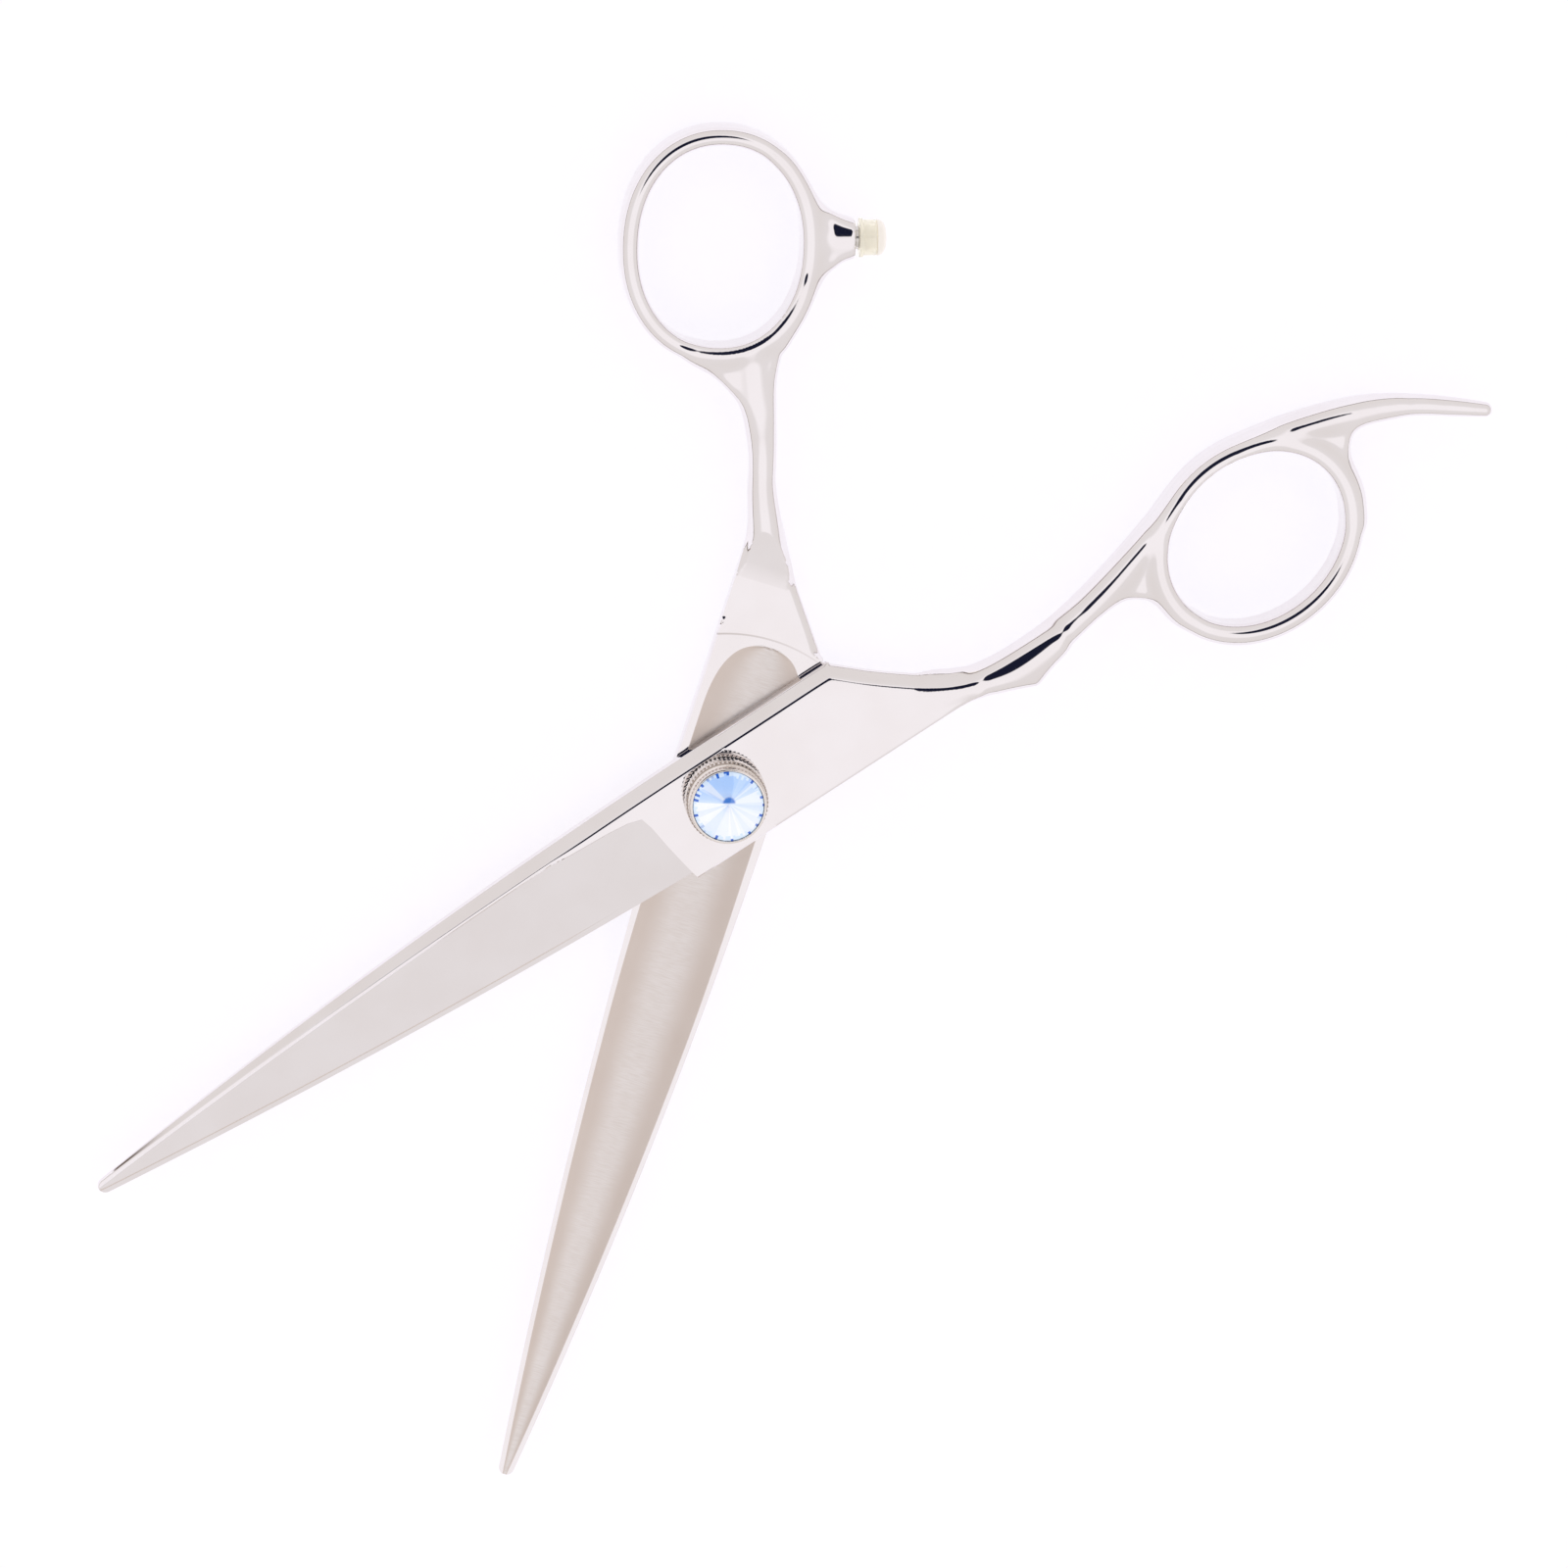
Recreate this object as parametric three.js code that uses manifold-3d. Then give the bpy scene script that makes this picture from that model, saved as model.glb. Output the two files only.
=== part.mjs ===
// Hair cutting shears with an offset handle, a fixed finger rest and a crystal tension dial.
//
// The frame is in millimetres. The origin is the centre of the flat rear face of the pivot screw,
// +Z runs out through the dial, and +X runs along the centre line of the open shears towards the
// tips. The finger half lies on top and its blade turns to -Y; the thumb half lies underneath.
//
// Each half is drawn in its own half frame: x along the blade from the pivot axis to the tip,
// y from the spine (-) to the cutting edge (+), and z out from the plane where the halves meet.

import * as THREE from "three";
import { mergeVertices } from "three/addons/utils/BufferGeometryUtils.js";
import Module from "manifold-3d";

// Overall sizes
const OPENING_ANGLE = THREE.MathUtils.degToRad(39.1); // between the two blades as laid open
const CUTTING_LENGTH = 84.7; // pivot axis to blade tip
const PLATE_HALF_WIDTH = 6.3;
const PLATE_THICKNESS = 2.65;
const SIDES = 48; // facets of a round piece
const SMALL_SIDES = 24; // facets of a small one

// Blade
const HEEL_X = 8.4; // where the ground facet starts
const FACET_RUN_IN = 24; // where the facet has reached the spine
const FACET_TOP_AT_HEEL = 3.5; // facet's upper edge to the blade axis at the heel
const TIP_THICKNESS = 1.0;
const TIP_WIDTH = 1.6;
const TIP_ROUND = 0.75;
const TIP_STEPS = [0.5, 0.85, 1]; // shares of the way along the rounded tip
const TIP_BLUNTNESS = 0.9;
const EDGE_LAND = 0.12; // thickness left at the cutting edge
const EDGE_BOW = 0.59; // how far the edge line bows out, against a straight taper
const RIDE_LINE = 0.8; // flat margins of the inner face
const HOLLOW_DEPTH = 0.22; // hollow grinding between the margins
const HOLLOW_RUN_OUT = 20; // the hollow gets shallower over this length before the tip
const HOLLOW_STEPS = [0, 0.25, 0.5, 0.75, 1]; // shares of the way across the hollow
const CHAMFER_SLOPE = 0.62;
const CHAMFER_START = 0.75;
const BLADE_STEPS = 22;

// Plate behind the pivot
const SHOULDER_X = -17.8; // where the spine side turns in towards the shank
const PLATE_END_X = -29.5;
const FINGER_NECK_SPINE_Y = 2.9;
const THUMB_NECK_SPINE_Y = 2.3;
const FINGER_SHOULDER_BOW = 0.45; // how far the side between shoulder and neck bends inwards
const THUMB_SHOULDER_BOW = 0;
const RIDE_RADIUS = 18.1; // the halves ride on each other inside this radius
const RIDE_RELIEF = 0.3; // step of the inner face beyond it
const RELIEF_REACH = 12;
const RELIEF_SPREAD = Math.PI / 5; // half the angle that the step covers, seen from the pivot

// Handles
const RING_HEIGHT = 5.6;
const RING_LIFT = 0.25; // ring mid-plane, out from the plane where the halves meet
// A ring: centre, half length and half width of its hole, turn of the hole, how square the hole is,
// mean wall, and how much thicker the wall is on the side away from the spine.
const FINGER_RING = {
  x: -66.4,
  y: 8.6,
  long: 10.9,
  short: 8.95,
  turn: 11.2,
  squareness: 2,
  wall: 2.35,
  outerExtra: 0.35,
};
const THUMB_RING = {
  x: -59.6,
  y: 19.8,
  long: 11.3,
  short: 9.15,
  turn: -16.2,
  squareness: 2.15,
  wall: 2.25,
  outerExtra: 0,
};
const RING_STEPS = 56;
const BAR_SIDES = 14;
const BAR_SQUARENESS = 2.5;
const STEPS_PER_SPAN = 3;

// A bar station: place of its centre, half width, and the lowest and highest z of its section.
const FINGER_BAR = [
  [-26.4, 3.3, 2.2, 0.45, 2.5],
  [-30.6, 4.9, 1.75, 0.1, 2.6],
  [-35.2, 6.1, 2.15, -1.1, 2.65],
  [-40.3, 5.9, 2.1, -1.7, 2.6],
  [-45.0, 4.95, 1.7, -1.9, 2.5],
  [-49.8, 3.9, 1.65, -2.1, 2.6],
  [-54.2, 2.5, 1.35, -2.25, 2.75],
  [-59.8, 0.65, 1.1, -2.4, 2.9],
  [-66.2, -0.7, 1.05, -2.4, 2.9],
  [-72.6, -0.6, 1.1, -2.35, 2.85],
  [-78.6, 0.9, 1.3, -2.1, 2.6],
  [-84.4, 3.0, 1.4, -1.6, 2.2],
  [-89.6, 6.0, 1.2, -1.15, 1.75],
  [-93.6, 9.0, 1.05, -0.85, 1.45],
  [-96.3, 11.2, 0.85, -0.6, 1.2],
  [-96.7, 11.6, 0.45, -0.1, 0.7],
];
const FINGER_SPUR = [
  [-34.6, 6.3, 1.9, -0.6, 2.3],
  [-36.0, 8.0, 1.1, -0.2, 1.9],
  [-36.7, 9.3, 0.45, 0.2, 1.5],
];
const FINGER_RING_WEB = [
  [-47.6, 4.7, 1.6, -1.4, 2.0],
  [-52.2, 6.4, 2.3, -1.6, 2.2],
  [-55.2, 9.6, 1.4, -1.6, 2.2],
];
const REST_WEB = [
  [-83.6, 3.4, 1.2, -1.3, 1.9],
  [-80.6, 4.6, 2.2, -1.6, 2.2],
  [-78.9, 8.0, 1.0, -1.6, 2.2],
];
const THUMB_BAR = [
  [-25.6, 3.1, 2.6, 0.45, 2.5],
  [-30.2, 4.85, 2.1, 0.1, 2.6],
  [-34.3, 6.5, 1.65, -1.2, 2.6],
  [-38.6, 7.95, 1.4, -1.7, 2.45],
  [-41.6, 9.1, 1.5, -2.0, 2.5],
  [-44.4, 10.8, 2.3, -2.2, 2.7],
  [-46.6, 13.2, 2.2, -2.3, 2.8],
];
const THUMB_RING_WEB = [
  [-42.4, 9.3, 1.2, -1.6, 2.1],
  [-46.6, 10.2, 1.5, -1.9, 2.4],
  [-51.2, 10.6, 1.1, -1.9, 2.4],
];
const BOSS_RADIUS = 1.8;
const BOSS_FACE = new THREE.Vector2(-64.8, 5.55); // centre of the boss's end face
const BOSS_TURN = THREE.MathUtils.degToRad(-108); // way the boss points, in the half frame
const BOSS_LENGTH = 4.4;
const BOSS_ROOT_HALF_WIDTH = 4.2;
const BOSS_FLARE = 0.8; // share of the ring's height that the root of the boss reaches
const BOSS_STEPS = 6;

// Pivot stack, outwards from the plane where the halves meet
const RUNNING_GAP = 0.05;
const WORKING_GAP = 0.2; // room for the dial's travel along the screw
const SCREW_RADIUS = 2.2;
const SCREW_FLATS = 3.6; // across the flats
const THREAD_RADIUS = 1.9;
const BUSHING_WALL = 0.7;
const REAR_WASHER_THICKNESS = 0.28;
const REAR_WASHER_RADIUS = 4.2;
const SCREW_HEAD_RADIUS = 4.6;
const SCREW_HEAD_THICKNESS = 0.36;
const SCREW_HEAD_BEVEL = 0.15;
const SPANNER_HOLE_RADIUS = 0.4;
const SPANNER_HOLE_DEPTH = 0.25;
const SPANNER_HOLE_OFFSET = 2.6;
const THRUST_WASHER_RADIUS = 4.1;
const THRUST_WASHER_THICKNESS = 0.45;
const CLICK_PLATE_THICKNESS = 0.4;
const CLICK_TEETH = 12;
const CLICK_TOOTH_LENGTH = 0.7;
const CLICK_TOOTH_WIDTH = 0.5;
const CLICK_TOOTH_DEPTH = 0.15;
const SPRING_THICKNESS = 0.2;
const SPRING_RISE = 0.35;

// Dial and crystal: the stone sets the width of the rim round it and of the dial
const CRYSTAL_RADIUS = 4.0;
const CRYSTAL_FACETS = 12;
const CRYSTAL_GIRDLE = 0.35;
const CRYSTAL_CROWN = 0.95;
const CRYSTAL_PAVILION = 1.5;
const CRYSTAL_SEAT_DEPTH = 0.5; // girdle below the rim
const CRYSTAL_GAP = 0.08;
const DIAL_RIM_RADIUS = CRYSTAL_RADIUS + 0.35;
const DIAL_RADIUS = CRYSTAL_RADIUS + 0.75;
const DIAL_HEIGHT = 5.0;
const DIAL_BASE_BAND = 0.8;
const DIAL_KNURL_BAND = 2.6;
const DIAL_RIM_BEVEL = 0.15;
const DIAL_CAVITY_RADIUS = DIAL_RADIUS - 0.6;
const DIAL_CAVITY_HEIGHT = 1.7;
const KNURL_TEETH = 60;
const KNURL_DEPTH = 0.13;
const CLICK_PLATE_RADIUS = DIAL_CAVITY_RADIUS - 0.25;
const SPRING_RADIUS = DIAL_CAVITY_RADIUS - 0.45;

// Bumper
const STUD_RADIUS = 0.9;
const STUD_HOLE_DEPTH = 3.0;
const STUD_COLLAR_RADIUS = 1.3;
const STUD_COLLAR = 0.5;
const STUD_NECK = 0.35; // bare stem on both sides of the stud's shoulder
const SLEEVE_RADIUS = 2.25;
const SLEEVE_BORE = 1.45;
const SLEEVE_LENGTH = 1.95;
const BUMPER_TIP_RADIUS = 2.05;
const BUMPER_TIP_LENGTH = 1.15;
const BUMPER_TIP_STEPS = 6;
const BUMPER_LIFT = 0.25;

// What follows from the sizes above
const BUSHING_BORE = SCREW_RADIUS + RUNNING_GAP;
const BUSHING_RADIUS = BUSHING_BORE + BUSHING_WALL;
const REAR_WASHER_TOP = -PLATE_THICKNESS - RUNNING_GAP;
const SCREW_HEAD_TOP = REAR_WASHER_TOP - REAR_WASHER_THICKNESS - RUNNING_GAP;
const SCREW_REAR = SCREW_HEAD_TOP - SCREW_HEAD_THICKNESS;
const MEETING_PLANE = -SCREW_REAR; // height of the plane where the halves meet
const CLICK_PLATE_Z = PLATE_THICKNESS + RUNNING_GAP;
const SPRING_Z = CLICK_PLATE_Z + CLICK_PLATE_THICKNESS + CLICK_TOOTH_DEPTH + WORKING_GAP;
const DIAL_Z = PLATE_THICKNESS + WORKING_GAP;
const DIAL_TOP = DIAL_Z + DIAL_HEIGHT;
const CRYSTAL_Z = DIAL_TOP - CRYSTAL_SEAT_DEPTH;
const SCREW_TOP = CRYSTAL_Z - CRYSTAL_PAVILION - 2 * WORKING_GAP;

const wasm = await Module();
wasm.setup();

// ---- Solids ----

function solid(geometry) {
  const bare = geometry.clone();
  bare.deleteAttribute("normal");
  bare.deleteAttribute("uv");
  const merged = mergeVertices(bare, 1e-4);
  return new wasm.Manifold(
    new wasm.Mesh({
      numProp: 3,
      vertProperties: merged.attributes.position.array,
      triVerts: new Uint32Array(merged.index.array),
    }),
  );
}

function geometryOf(body) {
  const mesh = body.getMesh();
  const geometry = new THREE.BufferGeometry();
  geometry.setAttribute("position", new THREE.BufferAttribute(mesh.vertProperties, 3));
  geometry.setIndex(new THREE.BufferAttribute(mesh.triVerts, 1));
  geometry.computeVertexNormals();
  return geometry;
}

function signedVolume(points, faces) {
  return faces.reduce((sum, [a, b, c]) => {
    const normal = new THREE.Vector3().crossVectors(points[b], points[c]);
    return sum + points[a].dot(normal) / 6;
  }, 0);
}

// A closed skin over a row of sections that hold the same number of points. The row runs on into
// its own start when it is a loop, and has a flat cap on each end when it isn't.
function skin(sections, loop = false) {
  const count = sections[0].length;
  const points = sections.flat();
  const faces = [];
  const spans = loop ? sections.length : sections.length - 1;
  for (let s = 0; s < spans; s++) {
    const near = s * count;
    const far = ((s + 1) % sections.length) * count;
    for (let i = 0; i < count; i++) {
      const j = (i + 1) % count;
      faces.push([near + i, far + i, far + j]);
      faces.push([near + i, far + j, near + j]);
    }
  }
  if (!loop) {
    [0, sections.length - 1].forEach((s) => {
      const centre = new THREE.Vector3();
      sections[s].forEach((p) => centre.addScaledVector(p, 1 / count));
      const c = points.push(centre) - 1;
      for (let i = 0; i < count; i++) {
        const a = s * count + i;
        const b = s * count + ((i + 1) % count);
        faces.push(s === 0 ? [c, a, b] : [c, b, a]);
      }
    });
  }
  const outward = signedVolume(points, faces) > 0;
  const geometry = new THREE.BufferGeometry().setFromPoints(points);
  geometry.setIndex(faces.flatMap(([a, b, c]) => (outward ? [a, b, c] : [a, c, b])));
  return geometry;
}

// A round piece about the z axis, from a profile of [radius, z] points that runs up its outside.
function turned(profile, sides = SIDES) {
  const closed = [...profile, profile[0]];
  const lathe = new THREE.LatheGeometry(
    closed.map(([r, z]) => new THREE.Vector2(r, z)),
    sides,
  );
  return solid(lathe.rotateX(Math.PI / 2));
}

function disc(radius, low, high, sides = SIDES) {
  const cylinder = new THREE.CylinderGeometry(radius, radius, high - low, sides);
  return solid(cylinder.rotateX(Math.PI / 2).translate(0, 0, (low + high) / 2));
}

function block(width, depth, low, high) {
  return solid(new THREE.BoxGeometry(width, depth, high - low).translate(0, 0, (low + high) / 2));
}

function ringWasher(bore, radius, low, high) {
  return turned([
    [bore, low],
    [radius, low],
    [radius, high],
    [bore, high],
  ]);
}

// ---- Bars and rings of the handles ----

const superPoint = (angle, power) => {
  const c = Math.cos(angle);
  const s = Math.sin(angle);
  return [
    Math.sign(c) * Math.abs(c) ** (2 / power),
    Math.sign(s) * Math.abs(s) ** (2 / power),
  ];
};

// A rounded section across a bar: `side` is the level direction across it.
function barSection(centre, side, halfWidth, low, high) {
  const middle = (low + high) / 2;
  const halfHeight = (high - low) / 2;
  return Array.from({ length: BAR_SIDES }, (_, i) => {
    const [u, v] = superPoint((2 * Math.PI * (i + 0.5)) / BAR_SIDES, BAR_SQUARENESS);
    return new THREE.Vector3(
      centre.x + side.x * u * halfWidth,
      centre.y + side.y * u * halfWidth,
      middle + v * halfHeight,
    );
  });
}

function bar(stations) {
  const path = new THREE.CatmullRomCurve3(stations.map(([x, y]) => new THREE.Vector3(x, y, 0)));
  const size = new THREE.CatmullRomCurve3(stations.map(([, , w, lo, hi]) => new THREE.Vector3(w, lo, hi)));
  path.curveType = "catmullrom";
  size.curveType = "catmullrom";
  const steps = (stations.length - 1) * STEPS_PER_SPAN;
  const sections = [];
  for (let i = 0; i <= steps; i++) {
    const centre = path.getPoint(i / steps);
    const along = path.getTangent(i / steps);
    const [halfWidth, low, high] = size.getPoint(i / steps).toArray();
    sections.push(barSection(centre, new THREE.Vector2(-along.y, along.x), halfWidth, low, high));
  }
  return solid(skin(sections));
}

// The wall of a ring whose hole is a slightly squared ellipse.
function ringBar(ring) {
  const turn = THREE.MathUtils.degToRad(ring.turn);
  const sections = [];
  for (let i = 0; i < RING_STEPS; i++) {
    const angle = (2 * Math.PI * i) / RING_STEPS;
    const [u, v] = superPoint(angle, ring.squareness);
    const normal = new THREE.Vector2(
      Math.sign(u) * Math.abs(u) ** (ring.squareness - 1) * ring.short,
      Math.sign(v) * Math.abs(v) ** (ring.squareness - 1) * ring.long,
    ).normalize();
    const outward = normal.clone().rotateAround(new THREE.Vector2(), turn);
    const wall = ring.wall + ring.outerExtra * outward.y;
    const centre = new THREE.Vector2(u * ring.long, v * ring.short);
    centre.addScaledVector(normal, wall / 2);
    centre.rotateAround(new THREE.Vector2(), turn).add(new THREE.Vector2(ring.x, ring.y));
    const low = RING_LIFT - RING_HEIGHT / 2;
    const high = RING_LIFT + RING_HEIGHT / 2;
    sections.push(barSection(centre, outward, wall / 2, low, high));
  }
  return solid(skin(sections, true));
}

function boss() {
  const along = new THREE.Vector2(Math.cos(BOSS_TURN), Math.sin(BOSS_TURN));
  const side = new THREE.Vector2(-along.y, along.x);
  const sections = [];
  for (let i = 0; i <= BOSS_STEPS; i++) {
    const t = i / BOSS_STEPS;
    const centre = BOSS_FACE.clone().addScaledVector(along, (t - 1) * BOSS_LENGTH);
    const flare = (1 - t) ** 2;
    const halfWidth = BOSS_RADIUS + (BOSS_ROOT_HALF_WIDTH - BOSS_RADIUS) * flare;
    const halfHeight = BOSS_RADIUS + (RING_HEIGHT / 2 - BOSS_RADIUS) * flare * BOSS_FLARE;
    sections.push(barSection(centre, side, halfWidth, BUMPER_LIFT - halfHeight, BUMPER_LIFT + halfHeight));
  }
  return solid(skin(sections));
}

// ---- Blade and plate ----

const along = (x) => x / CUTTING_LENGTH;
const edgeY = (x) => PLATE_HALF_WIDTH * (1 - along(x)) * (1 + EDGE_BOW * along(x));
const spineY = (x) => -PLATE_HALF_WIDTH + (PLATE_HALF_WIDTH - TIP_WIDTH) * along(x) ** 2;

function spineThickness(x) {
  const t = THREE.MathUtils.clamp((x - FACET_RUN_IN) / (CUTTING_LENGTH - FACET_RUN_IN), 0, 1);
  return THREE.MathUtils.lerp(PLATE_THICKNESS, TIP_THICKNESS, t);
}

const chamfer = (x) => CHAMFER_SLOPE * (spineThickness(x) - CHAMFER_START);

function facetTopY(x) {
  const ridge = spineY(x) + chamfer(x);
  const runIn = THREE.MathUtils.clamp((FACET_RUN_IN - x) / (FACET_RUN_IN - HEEL_X), 0, 1);
  return ridge + 0.05 + (-FACET_TOP_AT_HEEL - spineY(HEEL_X) - chamfer(HEEL_X)) * runIn ** 1.5;
}

function bladeSection(x, narrow) {
  const middle = (edgeY(x) + spineY(x)) / 2;
  const inwards = (y) => middle + (y - middle) * narrow;
  const edge = inwards(edgeY(x));
  const spine = inwards(spineY(x));
  const ride = Math.min(RIDE_LINE, (edge - spine) / 4);
  const hollow = HOLLOW_DEPTH * THREE.MathUtils.clamp((CUTTING_LENGTH - x) / HOLLOW_RUN_OUT, 0.05, 1);
  const floor = HOLLOW_STEPS.map((t) => [
    THREE.MathUtils.lerp(edge - ride, spine + ride, t),
    hollow * 4 * t * (1 - t),
  ]);
  return [
    [edge, 0],
    ...floor,
    [spine, 0],
    [inwards(spineY(x) + chamfer(x)), spineThickness(x)],
    [inwards(facetTopY(x)), spineThickness(x)],
    [edge, EDGE_LAND],
  ].map(([y, z]) => new THREE.Vector3(x, y, z));
}

function blade() {
  const start = HEEL_X - 1;
  const sections = [];
  for (let i = 0; i <= BLADE_STEPS; i++) {
    const x = THREE.MathUtils.lerp(start, CUTTING_LENGTH - TIP_ROUND, i / BLADE_STEPS);
    sections.push(bladeSection(x, 1));
  }
  TIP_STEPS.forEach((t) => {
    const x = CUTTING_LENGTH - TIP_ROUND * (1 - t);
    sections.push(bladeSection(x, Math.sqrt(1 - (TIP_BLUNTNESS * t) ** 2)));
  });
  return solid(skin(sections));
}

// The plate narrows behind its shoulder, where the spine side runs across to the neck.
function plate(neckSpineY, bow) {
  const halfWay = [(SHOULDER_X + PLATE_END_X) / 2, (neckSpineY - PLATE_HALF_WIDTH) / 2 + bow];
  const stations = [
    [HEEL_X, spineY(HEEL_X)],
    [0, -PLATE_HALF_WIDTH],
    [SHOULDER_X, -PLATE_HALF_WIDTH],
    halfWay,
    [PLATE_END_X, neckSpineY],
  ];
  const sections = stations.map(([x, spine]) => {
    const bevel = chamfer(0);
    const top = Math.min(spine + bevel, PLATE_HALF_WIDTH - bevel);
    return [
      [PLATE_HALF_WIDTH, 0],
      [spine, 0],
      [top, PLATE_THICKNESS],
      [PLATE_HALF_WIDTH, PLATE_THICKNESS],
    ].map(([y, z]) => new THREE.Vector3(x, y, z));
  });
  return solid(skin(sections));
}

// Everything beyond the ride radius steps back from the plane where the halves meet.
function rideRelief() {
  const shape = new THREE.Shape();
  const from = Math.PI - RELIEF_SPREAD;
  const to = Math.PI + RELIEF_SPREAD;
  shape.absarc(0, 0, RIDE_RADIUS + RELIEF_REACH, from, to, false);
  shape.absarc(0, 0, RIDE_RADIUS, to, from, true);
  const options = { depth: 1 + RIDE_RELIEF, bevelEnabled: false, curveSegments: 24 };
  return solid(new THREE.ExtrudeGeometry(shape, options).translate(0, 0, -1));
}

function forging(plateBody, pivotHole, ...handle) {
  const body = blade().add(plateBody).subtract(rideRelief());
  return handle.reduce((sum, piece) => sum.add(piece), body).subtract(pivotHole);
}

// ---- Pieces of the pivot ----

function doubleD(radius, acrossFlats, low, high) {
  return disc(radius, low, high).intersect(block(2 * radius + 1, acrossFlats, low, high));
}

function fingerHalf() {
  const hole = doubleD(SCREW_RADIUS + RUNNING_GAP, SCREW_FLATS + 2 * RUNNING_GAP, -1, PLATE_THICKNESS + 1);
  const seat = disc(THRUST_WASHER_RADIUS + RUNNING_GAP, -1, THRUST_WASHER_THICKNESS + RUNNING_GAP);
  return forging(
    plate(FINGER_NECK_SPINE_Y, FINGER_SHOULDER_BOW),
    hole.add(seat),
    bar(FINGER_BAR),
    bar(FINGER_SPUR),
    bar(FINGER_RING_WEB),
    bar(REST_WEB),
    ringBar(FINGER_RING),
  ).subtract(holeOf(FINGER_RING));
}

function thumbHalf() {
  const hole = disc(BUSHING_RADIUS + RUNNING_GAP, -1, PLATE_THICKNESS + 1);
  const back = plate(THUMB_NECK_SPINE_Y, THUMB_SHOULDER_BOW);
  return forging(back, hole, bar(THUMB_BAR), bar(THUMB_RING_WEB), ringBar(THUMB_RING), boss())
    .subtract(holeOf(THUMB_RING))
    .subtract(onBumperAxis(disc(STUD_RADIUS + RUNNING_GAP, -STUD_HOLE_DEPTH, 1)));
}

// The clear hole of a ring, as wide as the flattest part of its wall.
function holeOf(ring) {
  const shape = new THREE.Shape(
    Array.from({ length: RING_STEPS }, (_, i) => {
      const [u, v] = superPoint((2 * Math.PI * i) / RING_STEPS, ring.squareness);
      return new THREE.Vector2(u * ring.long, v * ring.short);
    }),
  );
  const plug = new THREE.ExtrudeGeometry(shape, { depth: 2 * RING_HEIGHT, bevelEnabled: false });
  plug.rotateZ(THREE.MathUtils.degToRad(ring.turn));
  return solid(plug.translate(ring.x, ring.y, -RING_HEIGHT));
}

function pivotScrew() {
  const head = turned([
    [0, SCREW_REAR],
    [SCREW_HEAD_RADIUS - SCREW_HEAD_BEVEL, SCREW_REAR],
    [SCREW_HEAD_RADIUS, SCREW_REAR + SCREW_HEAD_BEVEL],
    [SCREW_HEAD_RADIUS, SCREW_HEAD_TOP],
    [0, SCREW_HEAD_TOP],
  ]);
  const shank = disc(SCREW_RADIUS, SCREW_REAR + 0.1, -RUNNING_GAP);
  const flats = doubleD(SCREW_RADIUS, SCREW_FLATS, -1, CLICK_PLATE_Z + CLICK_PLATE_THICKNESS);
  const thread = disc(THREAD_RADIUS - RUNNING_GAP, 0, SCREW_TOP);
  const spannerHoles = [-1, 1].map((side) =>
    disc(SPANNER_HOLE_RADIUS, SCREW_REAR - 1, SCREW_REAR + SPANNER_HOLE_DEPTH, SMALL_SIDES).translate([
      side * SPANNER_HOLE_OFFSET,
      0,
      0,
    ]),
  );
  const body = head.add(shank).add(flats).add(thread);
  return spannerHoles.reduce((sum, hole) => sum.subtract(hole), body);
}

const rearWasher = () =>
  ringWasher(BUSHING_BORE, REAR_WASHER_RADIUS, REAR_WASHER_TOP - REAR_WASHER_THICKNESS, REAR_WASHER_TOP);

const thrustWasher = () =>
  ringWasher(BUSHING_BORE, THRUST_WASHER_RADIUS, RUNNING_GAP / 2, THRUST_WASHER_THICKNESS);

const pivotBushing = () =>
  ringWasher(BUSHING_BORE, BUSHING_RADIUS, RUNNING_GAP, PLATE_THICKNESS - RUNNING_GAP);

function clickPlate() {
  const hole = doubleD(SCREW_RADIUS + RUNNING_GAP, SCREW_FLATS + 2 * RUNNING_GAP, 0, PLATE_THICKNESS + 2);
  const top = CLICK_PLATE_Z + CLICK_PLATE_THICKNESS;
  let body = disc(CLICK_PLATE_RADIUS, CLICK_PLATE_Z, top).subtract(hole);
  for (let i = 0; i < CLICK_TEETH; i++) {
    const tooth = block(CLICK_TOOTH_LENGTH, CLICK_TOOTH_WIDTH, top - RUNNING_GAP, top + CLICK_TOOTH_DEPTH)
      .translate([CLICK_PLATE_RADIUS - CLICK_TOOTH_LENGTH, 0, 0])
      .rotate([0, 0, (360 * i) / CLICK_TEETH]);
    body = body.add(tooth);
  }
  return body;
}

function springWasher() {
  const bore = THREAD_RADIUS + 2 * RUNNING_GAP;
  return turned([
    [bore, SPRING_Z + SPRING_RISE],
    [SPRING_RADIUS, SPRING_Z],
    [SPRING_RADIUS, SPRING_Z + SPRING_THICKNESS],
    [bore, SPRING_Z + SPRING_RISE + SPRING_THICKNESS],
  ]);
}

// ---- Dial, crystal and bumper ----

function knurl(low, high) {
  const shape = new THREE.Shape();
  for (let i = 0; i < 2 * KNURL_TEETH; i++) {
    const angle = (Math.PI * i) / KNURL_TEETH;
    const radius = DIAL_RADIUS - (i % 2) * KNURL_DEPTH;
    const place = [radius * Math.cos(angle), radius * Math.sin(angle)];
    if (i === 0) shape.moveTo(...place);
    else shape.lineTo(...place);
  }
  const options = { depth: high - low, bevelEnabled: false };
  return solid(new THREE.ExtrudeGeometry(shape, options).translate(0, 0, low));
}

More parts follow.
